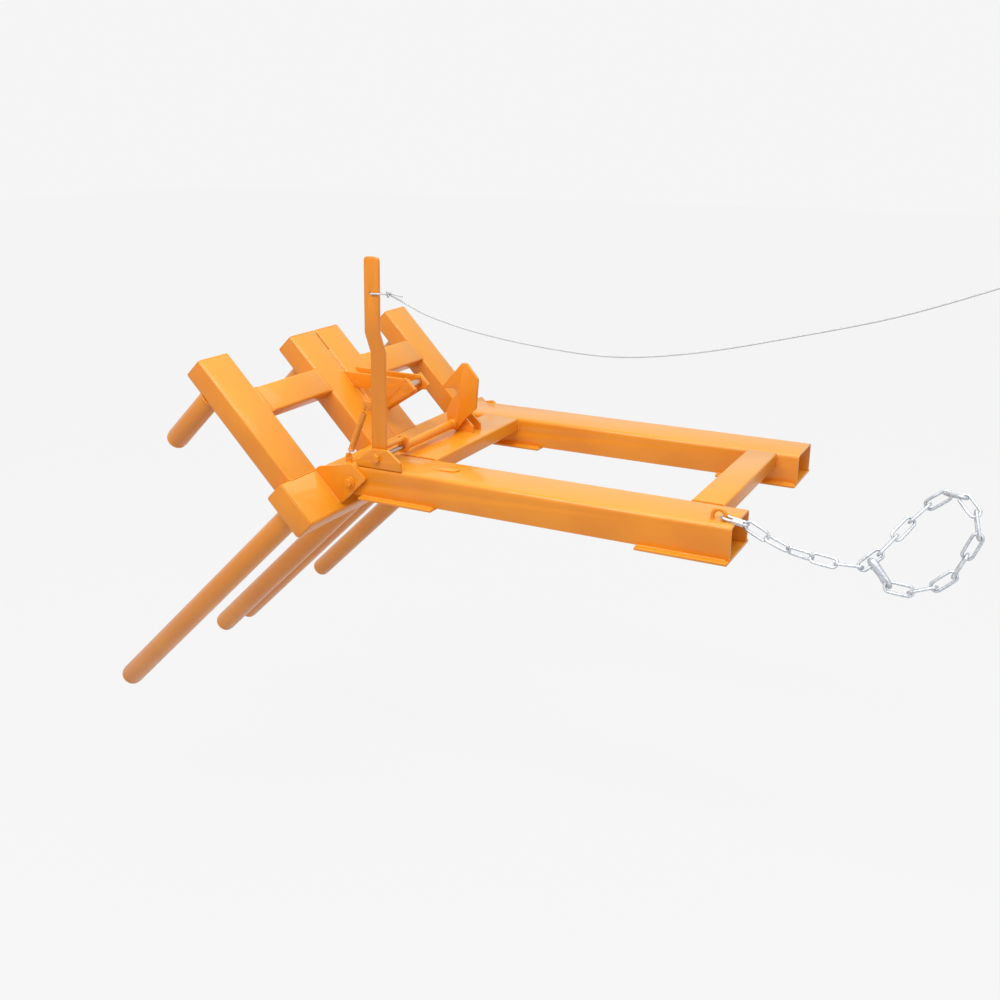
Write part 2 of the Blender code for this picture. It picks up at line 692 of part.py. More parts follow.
def hollow_section(name, width, height, wall, bend, length, turn):
    outer = rounded_box(width, height, bend)
    inner = rounded_box(width - 2 * wall, height - 2 * wall, bend - wall)
    return outline_mesh(name, [outer, inner], length, turn)


def lower_tube(name, cradle):
    tube = hollow_section(name, TUBE_DEPTH, LOWER_TUBE_HEIGHT, TUBE_WALL, TUBE_BEND,
                          LOWER_TUBE_LENGTH, FACING_Y)
    where = (-CRADLE_FACE_AHEAD - TUBE_DEPTH / 2, 0, LOWER_TUBE_MIDDLE)
    place(name, tube, orange(name), cradle, where)


def lower_tube_cap(name, side, cradle):
    outline = rounded_box(TUBE_DEPTH - END_CAP_INSET, LOWER_TUBE_HEIGHT - END_CAP_INSET,
                          TUBE_BEND - END_CAP_INSET / 2)
    cap = outline_mesh(name, [outline], END_CAP_THICKNESS, FACING_Y)
    y = side * (LOWER_TUBE_LENGTH / 2 + HAIRLINE + END_CAP_THICKNESS / 2)
    place(name, cap, orange(name), cradle, (-CRADLE_FACE_AHEAD - TUBE_DEPTH / 2, y, LOWER_TUBE_MIDDLE))


def rail_centres():
    outer = RAIL_OUTER_Y - RAIL_WIDTH / 2
    inner = RAIL_WIDTH / 2 + HAIRLINE / 2
    return {"near_outer": -outer, "near_inner": -inner, "far_inner": inner, "far_outer": outer}


def rail(name, y, cradle):
    tube = hollow_section(name, TUBE_DEPTH, RAIL_WIDTH, TUBE_WALL, TUBE_BEND, RAIL_LENGTH, Matrix())
    where = (-CRADLE_FACE_AHEAD - TUBE_DEPTH / 2, y, RAIL_TOP - RAIL_LENGTH / 2)
    place(name, tube, orange(name), cradle, where)


def rail_cap(name, y, cradle):
    outline = rounded_box(TUBE_DEPTH - END_CAP_INSET, RAIL_WIDTH - END_CAP_INSET,
                          TUBE_BEND - END_CAP_INSET / 2)
    cap = outline_mesh(name, [outline], END_CAP_THICKNESS)
    where = (-CRADLE_FACE_AHEAD - TUBE_DEPTH / 2, y, RAIL_TOP + HAIRLINE + END_CAP_THICKNESS / 2)
    place(name, cap, orange(name), cradle, where)


def bridge(name, side, cradle):
    """Short tube between the outer and the inner rail of one half."""
    outer = RAIL_OUTER_Y - RAIL_WIDTH - HAIRLINE
    inner = RAIL_WIDTH + 1.5 * HAIRLINE
    tube = hollow_section(name, BRIDGE_DEPTH, BRIDGE_HEIGHT, BRIDGE_WALL, CROSS_BEND,
                          outer - inner, FACING_Y)
    where = (-CRADLE_FACE_AHEAD - BRIDGE_DEPTH / 2, side * (outer + inner) / 2, BRIDGE_ABOVE_PIVOT)
    place(name, tube, orange(name), cradle, where)


def lug(name, side, cradle):
    """Plate on the lower tube's rear face that hangs the cradle on the pivot bolt."""
    root = -CRADLE_FACE_AHEAD + HAIRLINE
    corners = [(root, -LUG_BELOW_PIVOT, 0), (LUG_BEHIND_PIVOT, -LUG_BELOW_PIVOT, 0.006),
               (LUG_BEHIND_PIVOT - 0.006, LUG_TOP_ABOVE_PIVOT, 0.008),
               (root + 0.018, LUG_ROOT_HEIGHT, 0.006), (root, LUG_ROOT_HEIGHT, 0)]
    loops = [filleted(corners), circle((0, 0), PIVOT_BOLT_RADIUS + BOLT_FIT)]
    plate = outline_mesh(name, loops, LUG_THICKNESS, FACING_Y)
    place(name, plate, orange(name), cradle, (0, side * (LUG_INNER_Y + LUG_THICKNESS / 2), 0))


def tine(name, radius, length, y, height, cradle):
    """Round tube pointing forward from the frame, open at its root, with a domed nose."""
    bore = radius - TINE_WALL
    neck = radius - NOSE_GROOVE
    ring = length - NOSE_LENGTH
    dome = [(radius * share, length - NOSE_LENGTH * drop)
            for share, drop in ((0.96, 0.55), (0.82, 0.25), (0.55, 0.06))]
    profile = [(0, ring - TINE_WALL), (bore, ring - TINE_WALL), (bore, 0), (radius, 0),
               (radius, ring - 0.003), (neck, ring), (neck + 0.001, ring + 0.003)]
    profile += dome + [(0, length)]
    forward = Matrix.Rotation(-pi / 2, 4, "Y")
    tube = turned_mesh(name, profile, TINE_STEPS, forward)
    place(name, tube, orange(name), cradle, (TINE_ROOT_X, y, height))


def tines(cradle):
    for word, side in (("near", -1), ("far", 1)):
        for rank, y in (("outer", LONG_TINE_OUTER_Y), ("inner", INNER_TINE_Y)):
            tine(f"tine_long_{word}_{rank}", LONG_TINE_RADIUS, LONG_TINE_LENGTH, side * y,
                 LOWER_TUBE_MIDDLE, cradle)
        for rank, y in (("outer", SHORT_TINE_OUTER_Y), ("inner", INNER_TINE_Y)):
            tine(f"tine_short_{word}_{rank}", SHORT_TINE_RADIUS, SHORT_TINE_LENGTH, side * y,
                 SHORT_TINE_ABOVE_PIVOT, cradle)


# Catch on the cradle

def catch_bar(name, width, foot_height, y, cradle):
    """Flat bar from the rails' rear face to the catch pin, cut square to the frame."""
    foot_x = -CRADLE_FACE_AHEAD + HAIRLINE
    end_x = CATCH.x + CATCH_END
    slope = (CATCH.z - foot_height) / (CATCH.x - foot_x)
    half = width / 2 * sqrt(1 + slope * slope)
    end_height = CATCH.z + slope * CATCH_END
    corners = [(foot_x, foot_height - half, 0), (foot_x, foot_height + half, 0),
               (end_x, end_height + half, 0.004),
               (end_x, max(end_height - half, CATCH.z - POST_WIDTH * 0.62), 0.004)]
    if end_height - half < CATCH.z - POST_WIDTH * 0.62:
        turn_x = CATCH.x + (CATCH.z - POST_WIDTH * 0.62 - CATCH.z + half) / slope
        corners.append((turn_x, CATCH.z - POST_WIDTH * 0.62, 0.004))
    loops = [filleted(corners), circle((CATCH.x, CATCH.z), CATCH_PIN_RADIUS + BOLT_FIT)]
    bar = outline_mesh(name, loops, CATCH_PLATE, FACING_Y)
    place(name, bar, orange(name), cradle, (0, y, 0))


def catch_pin(name, cradle):
    """Pin across the catch, with a low head outside each post."""
    reach = CATCH_HALF_GAP + 2 * CATCH_PLATE + 2 * HAIRLINE
    profile = [(0, reach + PIN_HEAD_THICKNESS), (PIN_HEAD_RADIUS, reach + PIN_HEAD_THICKNESS),
               (PIN_HEAD_RADIUS, reach), (CATCH_PIN_RADIUS, reach), (CATCH_PIN_RADIUS, -reach),
               (PIN_HEAD_RADIUS, -reach), (PIN_HEAD_RADIUS, -reach - PIN_HEAD_THICKNESS),
               (0, -reach - PIN_HEAD_THICKNESS)]
    pin = turned_mesh(name, profile, ROUND_STEPS, Matrix.Rotation(-pi / 2, 4, "X"))
    place(name, pin, steel(name), cradle, (CATCH.x, HOOK_Y, CATCH.z))


def catch(cradle):
    arm_offset = CATCH_HALF_GAP + CATCH_PLATE / 2
    post_offset = arm_offset + CATCH_PLATE + HAIRLINE
    for word, side in (("near", -1), ("far", 1)):
        catch_bar("catch_arm_" + word, ARM_WIDTH, ARM_FOOT_ABOVE_PIVOT, HOOK_Y + side * arm_offset, cradle)
        catch_bar("catch_post_" + word, POST_WIDTH, POST_FOOT_ABOVE_PIVOT,
                  HOOK_Y + side * post_offset, cradle)
    catch_pin("catch_pin", cradle)


# Safety chain

def chain_eye(name):
    """Bent round bar welded on the near pocket."""
    points = [(EYE_BEND_RADIUS, 0, 0)]
    points += [(x, 0, z) for x, z in arc((0, EYE_LEG), EYE_BEND_RADIUS, 0, pi, 12)]
    points += [(-EYE_BEND_RADIUS, 0, 0)]
    bar = wire_mesh(name, points, EYE_BAR_RADIUS, resolution=2)
    place(name, bar, orange(name), location=(-EYE_SETBACK, EYE_Y, POCKET_TOP + HAIRLINE))


def smooth_route(route, per_span=12):
    """Smooth curve through hand-chosen points."""
    points = [Vector(p) for p in route]
    padded = [points[0] * 2 - points[1]] + points + [points[-1] * 2 - points[-2]]
    out = []
    for i in range(len(points) - 1):
        a, b, c, d = padded[i:i + 4]
        for k in range(per_span):
            t = k / per_span
            out.append(0.5 * ((2 * b) + (c - a) * t + (2 * a - 5 * b + 4 * c - d) * t * t
                              + (3 * b - a - 3 * c + d) * t ** 3))
    out.append(points[-1])
    return out


def even_points(route, count):
    """Splits a smooth route into equal lengths."""
    curve = smooth_route(route)
    lengths = [0.0]
    for a, b in zip(curve, curve[1:]):
        lengths.append(lengths[-1] + (b - a).length)
    points = []
    span = 0
    for i in range(count + 1):
        target = lengths[-1] * i / count
        while span < len(curve) - 2 and lengths[span + 1] < target:
            span += 1
        share = (target - lengths[span]) / (lengths[span + 1] - lengths[span])
        points.append(curve[span].lerp(curve[span + 1], share))
    return points


def route_length(route):
    curve = smooth_route(route)
    return sum((b - a).length for a, b in zip(curve, curve[1:]))


def link_loop(length, width, steps=6):
    """Centre line of a link in its own plane: two straights and two half rounds."""
    radius = width / 2
    straight = length / 2 - radius
    ends = arc((straight, 0), radius, -pi / 2, pi / 2, steps)
    ends += arc((-straight, 0), radius, pi / 2, 3 * pi / 2, steps)
    return ends


def lying(ahead, roll):
    """Sideways direction of a link that points ahead; roll 0 shows its opening along LOOK."""
    flat = LOOK.cross(ahead).normalized()
    return flat * cos(roll) + ahead.cross(flat) * sin(roll)


def link_mesh(name, first, last, roll):
    """One chain link that spans from one joint to the next."""
    ahead = (last - first).normalized()
    across = lying(ahead, roll)
    centre = (first + last) / 2
    length = (last - first).length + 2 * LINK_END
    points = [centre + ahead * x + across * y for x, y in link_loop(length, LINK_WIDTH)]
    return wire_mesh(name, points, LINK_WIRE, closed=True, resolution=2)


def quick_link(name):
    """Long oval link through the eye, closed by a hexagon nut."""
    loop = link_loop(QUICK_LINK_LENGTH, QUICK_LINK_WIDTH)
    ring = wire_mesh(name, [(x, y, 0) for x, y in loop], QUICK_LINK_WIRE, closed=True)
    shift = Matrix.Translation((QUICK_LINK_NUT_SHIFT, -QUICK_LINK_WIDTH / 2, 0))
    side = shift @ Matrix.Rotation(pi / 2, 4, "Y")
    nut = prism_mesh("nut", QUICK_LINK_WIRE * 1.8, QUICK_LINK_NUT, 6, side)
    link = combine(name, ring, [nut], "UNION")
    middle = (QUICK_LINK_START + QUICK_LINK_FAR) / 2
    place(name, link, zinc(name), location=middle, rotation=(0, QUICK_LINK_DROOP, 0))


def chain_roll(index):
    """Links lie crosswise to their neighbours, and the first ones share a quarter turn."""
    return (index + min(index + 1, RUN_LINKS) / RUN_LINKS) * pi / 2


def chain(name):
    """All links from the quick link to the snap hook, drawn taut so that they bear on each other."""
    links = [link_mesh(name, a, b, chain_roll(i))
             for i, (a, b) in enumerate(zip(CHAIN_JOINTS, CHAIN_JOINTS[1:]))]
    place(name, combine(name, links[0], links[1:], "UNION"), zinc(name))


def snap_frame():
    """Nose point, direction to the eye end, direction to the gate side, and length."""
    nose = CHAIN_JOINTS[RUN_LINKS].lerp(CHAIN_JOINTS[RUN_LINKS + 1], 0.45)
    last_link = (CHAIN_JOINTS[-2] - CHAIN_JOINTS[-1]).normalized()
    eye = CHAIN_JOINTS[-1] + last_link * (SNAP_WIRE + LINK_NIP / 2 + SNAP_SLACK)
    ahead = (eye - nose).normalized()
    back = (LOOK - ahead * LOOK.dot(ahead)).normalized()
    gate_side = back * cos(SNAP_TURN) + back.cross(ahead) * sin(SNAP_TURN)
    return nose, ahead, gate_side, (eye - nose).length


def snap_point(along, sideways):
    nose, ahead, gate_side, length = snap_frame()
    return nose + ahead * along + gate_side * sideways


def snap_hook(name):
    """Bent bar with an open side that the gate closes."""
    length = snap_frame()[3]
    radius = SNAP_WIDTH / 2
    outline = [(SNAP_NOSE_END, radius)]
    outline += arc((radius, 0), radius, pi / 2, 3 * pi / 2, 8)
    outline += arc((length - radius, 0), radius, -pi / 2, pi / 2, 8)
    outline += [(SNAP_GATE_ROOT, radius)]
    body = wire_mesh(name, [snap_point(x, y) for x, y in outline], SNAP_WIRE, resolution=2)
    place(name, body, zinc(name))


def snap_gate(name, hinge):
    """Straight bar that closes the hook, hinged at its root."""
    radius = SNAP_WIDTH / 2
    root = snap_point(SNAP_GATE_ROOT - RUNNING_GAP / 2, radius)
    tip = snap_point(SNAP_NOSE_END + RUNNING_GAP / 2, radius)
    start = root.lerp(tip, 0.02)
    bar = wire_mesh(name, [start - root, tip - root], SNAP_GATE_RADIUS, resolution=2)
    hinge.location = root
    place(name, bar, zinc(name), hinge)


# Rope

def rope_loop_points():
    """Loop of rope through the lever's hole and back, measured from the shaft."""
    hole = ROPE_HOLE - SHAFT
    knot = ROPE_ROUTE[0] - SHAFT
    side = LEVER_THICKNESS / 2 + ROPE_RADIUS + RUNNING_GAP
    near = Vector((0, -side, 0))
    points = [knot + near * 0.3, knot.lerp(hole, 0.3) + near * 0.8, knot.lerp(hole, 0.55) + near,
              hole + near + Vector((0.004, 0, 0)), hole + near * 0.85, hole, hole - near * 0.85,
              hole - near + Vector((0.004, 0, 0)), knot.lerp(hole, 0.55) - near,
              knot.lerp(hole, 0.3) - near * 0.8, knot - near * 0.3]
    return points, knot


def knot_mesh(centre):
    """Egg-shaped lump of a pulled knot."""
    ball = bmesh.new()
    turn = Matrix.Translation(centre) @ Matrix.Diagonal((KNOT_STRETCH, 1.0, 0.9, 1.0))
    bmesh.ops.create_icosphere(ball, subdivisions=2, radius=KNOT_RADIUS, matrix=turn)
    lump = bpy.data.meshes.new("knot")
    ball.to_mesh(lump)
    ball.free()
    return lump


def rope_knot(name, shaft):
    """The rope's loop on the lever and the knot that closes it."""
    points, knot = rope_loop_points()
    loop = wire_mesh(name, points, ROPE_RADIUS, resolution=2)
    lump = knot_mesh(knot)
    place(name, combine(name, lump, [loop], "UNION"), cord(name), shaft)


def pull_rope(name):
    """Rope from the knot to the hand loop at its far end."""
    start = ROPE_ROUTE[0] + (ROPE_ROUTE[1] - ROPE_ROUTE[0]).normalized() * (KNOT_RADIUS * KNOT_STRETCH)
    run = even_points([start] + ROPE_ROUTE[1:], ROPE_STEPS)
    end = run[-1]
    ahead = (run[-1] - run[-2]).normalized()
    up = Vector((0, 1, 0)).cross(ahead)
    centre = end + ahead * HAND_LOOP_RADIUS
    loop = []
    for i in range(1, HAND_LOOP_STEPS):
        angle = pi + 2 * pi * i / HAND_LOOP_STEPS
        loop.append(centre + ahead * (HAND_LOOP_RADIUS * cos(angle)) + up * (HAND_LOOP_RADIUS * sin(angle)))
    rope = wire_mesh(name, run + loop, ROPE_RADIUS, resolution=2)
    place(name, combine(name, knot_mesh(end), [rope], "UNION"), cord(name))


LOOK = Vector((-0.18, 0.91, -0.36)).normalized()
LINK_END = LINK_WIRE - LINK_NIP / 2
QUICK_LINK_START = Vector((EYE_BEND_RADIUS - EYE_SETBACK - EYE_BAR_RADIUS - QUICK_LINK_WIRE - 0.0005,
                           EYE_Y, POCKET_TOP + QUICK_LINK_RISE))
QUICK_LINK_AHEAD = Vector((cos(QUICK_LINK_DROOP), 0, -sin(QUICK_LINK_DROOP)))
QUICK_LINK_FAR = QUICK_LINK_START + QUICK_LINK_AHEAD * QUICK_LINK_LENGTH
CHAIN_START = QUICK_LINK_FAR - QUICK_LINK_AHEAD * (QUICK_LINK_WIRE + LINK_NIP / 2 + END_SLACK)
RUN_ROUTE = [CHAIN_START, (0.095, -0.422, -0.024), (0.157, -0.430, -0.042), (0.221, -0.436, -0.048),
             (0.287, -0.442, -0.052), (0.337, -0.447, -0.046)]
LOOP_ROUTE = [RUN_ROUTE[-1], (0.384, -0.425, 0.003), (0.416, -0.385, 0.048), (0.460, -0.345, 0.102),
              (0.512, -0.350, 0.148), (0.560, -0.400, 0.152), (0.598, -0.438, 0.100), (0.581, -0.445, 0.039),
              (0.553, -0.448, -0.029), (0.512, -0.450, -0.067), (0.460, -0.451, -0.088),
              (0.405, -0.452, -0.084)]
LOOP_LINKS = 2 * round(route_length(LOOP_ROUTE) / LINK_PITCH / 2) + 1
CHAIN_JOINTS = even_points(RUN_ROUTE, RUN_LINKS) + even_points(LOOP_ROUTE, LOOP_LINKS)[1:]
ROPE_HOLE = SHAFT + Vector((ROPE_HOLE_HEIGHT * sin(LEVER_LEAN), LEVER_Y - LEVER_JOGGLE,
                            ROPE_HOLE_HEIGHT * cos(LEVER_LEAN)))
ROPE_ROUTE = [ROPE_HOLE + Vector((KNOT_FROM_HOLE, 0, 0.002)),
              ROPE_HOLE + Vector((2 * KNOT_FROM_HOLE, 0, 0))]
ROPE_ROUTE += [Vector(p) for p in (
    (-0.918, -0.462, 0.501), (-0.763, -0.448, 0.457),
    (-0.553, -0.428, 0.429), (-0.353, -0.408, 0.421), (-0.138, -0.386, 0.450), (0.112, -0.357, 0.510),
    (0.343, -0.329, 0.574), (0.555, -0.301, 0.653), (0.635, -0.289, 0.689))]


# Assembly

def fork_frame():
    for word, side in (("near", -1), ("far", 1)):
        pocket("pocket_" + word, side)
        strap("strap_front_" + word, side, POCKET_FRONT_X + FRONT_STRAP_SETBACK)
        strap("strap_rear_" + word, side, -REAR_STRAP_SETBACK - STRAP_LENGTH)
        pivot_bolt("pivot_bolt_" + word, side)
    cross_tube("cross_tube_front", FRONT_CROSS_WIDTH, PIVOT.x + FRONT_CROSS_BEHIND_PIVOT)
    cross_tube("cross_tube_rear", REAR_CROSS_WIDTH, -REAR_CROSS_SETBACK)
    pad("pocket_pad")


def latch():
    shaft_plates()
    latch_shaft("latch_shaft")
    shaft = empty("latch_axis", SHAFT)
    lever("lever", shaft)
    spring_tab("spring_tab", shaft)
    drive_pin("drive_pin", shaft)
    crank_plate("crank_plate", shaft)
    torsion_tube("torsion_tube", shaft)
    hook_plate("hook_plate", shaft)
    rope_knot("rope_knot", shaft)
    spring_anchor("spring_anchor")
    return_spring("return_spring")
    pull_rope("pull_rope")


def cradle_frame():
    cradle = empty("cradle_axis", PIVOT, -CRADLE_LEAN)
    lower_tube("lower_tube", cradle)
    for word, side in (("near", -1), ("far", 1)):
        lower_tube_cap("lower_tube_cap_" + word, side, cradle)
        lug("lug_" + word, side, cradle)
        bridge("bridge_" + word, side, cradle)
    for word, y in rail_centres().items():
        rail("rail_" + word, y, cradle)
        rail_cap("rail_cap_" + word, y, cradle)
    tines(cradle)
    catch(cradle)


def safety_chain():
    chain_eye("chain_eye")
    quick_link("quick_link")
    chain("chain")
    snap_hook("snap_hook")
    snap_gate("snap_gate", empty("gate_axis", (0, 0, 0)))


fork_frame()
latch()
cradle_frame()
safety_chain()
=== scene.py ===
from math import cos, pi, radians, sin, tau

import bmesh
import bpy
from mathutils import Matrix, Vector


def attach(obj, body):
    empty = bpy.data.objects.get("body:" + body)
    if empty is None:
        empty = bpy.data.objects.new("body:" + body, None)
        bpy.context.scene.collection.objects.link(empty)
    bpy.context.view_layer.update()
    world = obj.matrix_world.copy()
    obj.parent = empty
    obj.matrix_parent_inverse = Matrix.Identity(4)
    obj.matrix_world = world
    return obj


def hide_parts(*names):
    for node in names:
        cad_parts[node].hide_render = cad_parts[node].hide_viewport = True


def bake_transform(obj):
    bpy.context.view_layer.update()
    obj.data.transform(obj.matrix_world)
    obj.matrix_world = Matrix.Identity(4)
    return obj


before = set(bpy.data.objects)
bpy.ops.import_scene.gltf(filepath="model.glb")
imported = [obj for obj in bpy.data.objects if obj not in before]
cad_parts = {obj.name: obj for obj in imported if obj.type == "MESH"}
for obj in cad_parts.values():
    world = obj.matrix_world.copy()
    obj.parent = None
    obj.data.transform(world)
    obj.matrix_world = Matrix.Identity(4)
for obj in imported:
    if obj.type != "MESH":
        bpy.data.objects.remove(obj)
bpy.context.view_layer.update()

SIDEWAYS = Vector((0, 1, 0))
UP = Vector((0, 0, 1))

# The frame, in metres; the near side is at -y
WELD_GAP = 0.0003
POCKET_TOP = 0.006
POCKET_OUTER_Y = 0.458
POCKET_INNER_Y = 0.288
PIVOT = Vector((-1.220, 0, -0.049))
EYE_X, EYE_Y, EYE_BEND = -0.049, -0.413, 0.0180

# The cradle, leaning back as photographed; its places are behind, sideways and height, for
# in_cradle, and TINES_Y holds the long and the short tine of each rank
LEAN = radians(43.7)
BEHIND = Vector((cos(LEAN), 0, sin(LEAN)))
ALONG_RAILS = Vector((-sin(LEAN), 0, cos(LEAN)))
TINE_ROOT = -0.1613
LONG_HEIGHT, LONG_RADIUS, LONG_LENGTH = 0.030, 0.038, 1.130
SHORT_HEIGHT, SHORT_RADIUS, SHORT_LENGTH = 0.487, 0.035, 0.250
TINES_Y = {"outer": (0.580, 0.564), "inner": (0.070, 0.070)}
CATCH_PIN = (0.0945, 0.022, 0.195)
CATCH_REACH = 0.0526

# The latch, whose lever leans a little towards the truck
SHAFT = Vector((-1.124, 0, 0.038))
LEVER_LEAN = radians(1.6)
LEVER_UP = Vector((sin(LEVER_LEAN), 0, cos(LEVER_LEAN)))
LEVER_OUT = Vector((-cos(LEVER_LEAN), 0, sin(LEVER_LEAN)))
TORSION_TUBE_Y = (-0.2987, 0.0157)
DRIVE_PIN = SHAFT + UP * 0.025
DRIVE_PIN_Y = (-0.4337, -0.3093)


def in_cradle(behind, sideways, height):
    """A point of the tilted cradle, measured from its pivot as it stands upright."""
    return PIVOT + BEHIND * behind + SIDEWAYS * sideways + ALONG_RAILS * height


# Camera

def set_camera():
    bpy.ops.object.camera_add(location=(0.7348, -3.178, 1.0324))
    camera = bpy.context.object
    camera.name = "view_of_turner"
    forward = Vector((-0.4395, 0.8369, -0.3262))
    camera.rotation_euler = forward.to_track_quat("-Z", "Y").to_euler()
    camera.data.lens = 39.87
    camera.data.sensor_width = 36
    camera.data.clip_end = 60
    bpy.context.scene.camera = camera


set_camera()


# Shader maths

class Socket:
    """An output of a shader node, on which plain arithmetic adds Math nodes."""

    def __init__(self, finish, socket):
        self.finish = finish
        self.socket = socket

    def __add__(self, other):
        return self.finish.maths("ADD", self, other)

    def __sub__(self, other):
        return self.finish.maths("SUBTRACT", self, other)

    def __rsub__(self, other):
        return self.finish.maths("SUBTRACT", other, self)

    def __mul__(self, other):
        return self.finish.maths("MULTIPLY", self, other)

    __radd__ = __add__
    __rmul__ = __mul__

    def clear_above(self, low, high):
        """0 below low, 1 above high, and a soft step between."""
        inputs = {"Value": self, "From Min": low, "From Max": high}
        return self.finish.node("ShaderNodeMapRange", {"interpolation_type": "SMOOTHSTEP"}, inputs)


class Finish:
    """One material and its nodes."""

    def __init__(self, name):
        self.material = bpy.data.materials.new(name)
        self.material.use_nodes = True
        self.tree = self.material.node_tree
        self.shader = self.tree.nodes["Principled BSDF"]

    def node(self, kind, settings=(), inputs=(), output=0):
        made = self.tree.nodes.new(kind)
        for key, value in dict(settings).items():
            setattr(made, key, value)
        for key, value in dict(inputs).items():
            if isinstance(value, Socket):
                self.tree.links.new(value.socket, made.inputs[key])
            else:
                made.inputs[key].default_value = value
        return Socket(self, made.outputs[output])

    def maths(self, operation, *values):
        return self.node("ShaderNodeMath", {"operation": operation}, dict(enumerate(values)))

    def place(self):
        return self.node("ShaderNodeTexCoord", output="Object")

    def noise(self, where, scale, detail, roughness=0.5):
        inputs = {"Vector": where, "Scale": scale, "Detail": detail, "Roughness": roughness}
        return self.node("ShaderNodeTexNoise", {"noise_dimensions": "3D"}, inputs)

    def blend(self, share, first, second):
        """Mix of two colours, by the Mix node's own colour sockets."""
        factor, colour_a, colour_b, colour_out = 0, 6, 7, 2
        inputs = {factor: share,
                  colour_a: (*first, 1.0) if isinstance(first, tuple) else first,
                  colour_b: (*second, 1.0) if isinstance(second, tuple) else second}
        return self.node("ShaderNodeMix", {"data_type": "RGBA"}, inputs, colour_out)

    def bump(self, height, distance, strength):
        inputs = {"Height": height, "Distance": distance, "Strength": strength}
        return self.node("ShaderNodeBump", {}, inputs)

    def upward(self):
        """How far the surface faces up, from -1 to 1."""
        normal = self.node("ShaderNodeNewGeometry", output="Normal")
        return self.node("ShaderNodeSeparateXYZ", {}, {0: normal}, output="Z")

    def set(self, **values):
        for key, value in values.items():
            socket = self.shader.inputs[key.replace("_", " ")]
            if isinstance(value, Socket):
                self.tree.links.new(value.socket, socket)
            else:
                socket.default_value = value


# Materials

DEEP_ORANGE = (0.80, 0.245, 0.006)
FRESH_ORANGE = (0.86, 0.285, 0.008)
# Painted highlight: a lighter, yellower orange for faces that look up, where light falls from
# above
LIT_TOP_ORANGE = (0.88, 0.400, 0.016)
RUBBED_ORANGE = (0.88, 0.42, 0.10)
WORN_STEEL = (0.62, 0.56, 0.50)
BRIGHT_ZINC = (0.66, 0.69, 0.73)
DULL_ZINC = (0.46, 0.49, 0.53)
SHAFT_TONE = (0.50, 0.44, 0.37)
PIN_TONE = (0.60, 0.46, 0.34)
TARNISH = (0.42, 0.36, 0.28)
# Painted shade for the grooves between a cord's plaits
PAINTED_GROOVE_SHADE = (0.40, 0.41, 0.42)
PLAIT_CREST = (0.73, 0.75, 0.77)
GRIME = (0.52, 0.51, 0.48)
PLAIT_PITCH = 900.0


def powder_coat(name, worn_at=None):
    """Orange powder coat: slow colour drift, orange peel, a painted highlight that makes the top
    side lighter and yellower, and a few rubs.

    worn_at is a centre and a reach, within which the coat is worn down to the steel.
    """
    finish = Finish(name)
    where = finish.place()
    drift = finish.noise(where, 5.0, 3.0)
    blotch = finish.noise(where, 23.0, 4.0, 0.6)
    peel = finish.noise(where, 330.0, 1.0)
    fine = finish.noise(where, 900.0, 1.0)
    rub = finish.noise(where, 61.0, 6.0, 0.72).clear_above(0.655, 0.72)
    # Painted light: faces that look up are blended towards a lighter, yellower orange, as if lit
    # from above
    lit_top = finish.upward().clear_above(0.25, 0.95) * (0.50 + 0.20 * blotch)
    colour = finish.blend(drift.clear_above(0.3, 0.7), DEEP_ORANGE, FRESH_ORANGE)
    colour = finish.blend(lit_top, colour, LIT_TOP_ORANGE)
    colour = finish.blend(rub * 0.20, colour, RUBBED_ORANGE)
    roughness = 0.34 + 0.14 * blotch + 0.10 * rub
    if worn_at:
        centre, reach = worn_at
        away = finish.node("ShaderNodeVectorMath", {"operation": "DISTANCE"},
                           {0: where, 1: centre}, "Value")
        scraped = finish.noise(where, 260.0, 4.0, 0.7)
        bare = 1.0 - (away + 0.012 * scraped).clear_above(reach, reach + 0.004)
        colour = finish.blend(bare, colour, WORN_STEEL)
        finish.set(Metallic=bare * 0.9)
        roughness = roughness - 0.06 * bare
    finish.set(Base_Color=colour, Roughness=roughness, Coat_Weight=0.34, Coat_Roughness=0.10,
               Normal=finish.bump(peel + 0.4 * fine, 0.00012, 0.30))
    return finish.material


def zinc_plate(name):
    """Galvanised steel: soft spangles, dull runs and a little grain."""
    finish = Finish(name)
    where = finish.place()
    spangle = finish.node("ShaderNodeTexVoronoi", {"feature": "F1"},
                          {"Vector": where, "Scale": 240.0}, "Color")
    tone = finish.node("ShaderNodeSeparateColor", {}, {0: spangle})
    cloud = finish.noise(where, 70.0, 4.0, 0.6)
    grain = finish.noise(where, 1400.0, 2.0)
    share = (0.45 * tone + 0.75 * cloud).clear_above(0.25, 0.85)
    finish.set(Base_Color=finish.blend(share, DULL_ZINC, BRIGHT_ZINC), Metallic=0.88,
               Roughness=0.32 + 0.14 * cloud + 0.05 * tone,
               Normal=finish.bump(grain, 0.00005, 0.5))
    return finish.material


def bright_bar(name, colour):
    """Drawn bar: fine lines round it and a faint tarnish."""
    finish = Finish(name)
    where = finish.place()
    rings = finish.node("ShaderNodeTexWave", {"bands_direction": "Y", "wave_profile": "SIN"},
                        {"Vector": where, "Scale": 420.0, "Distortion": 1.5, "Detail": 2.0})
    tarnish = finish.noise(where, 45.0, 4.0).clear_above(0.45, 0.75)
    finish.set(Base_Color=finish.blend(tarnish * 0.5, colour, TARNISH), Metallic=0.95,
               Roughness=0.22 + 0.12 * tarnish + 0.05 * rings,
               Normal=finish.bump(rings, 0.00003, 0.4))
    return finish.material


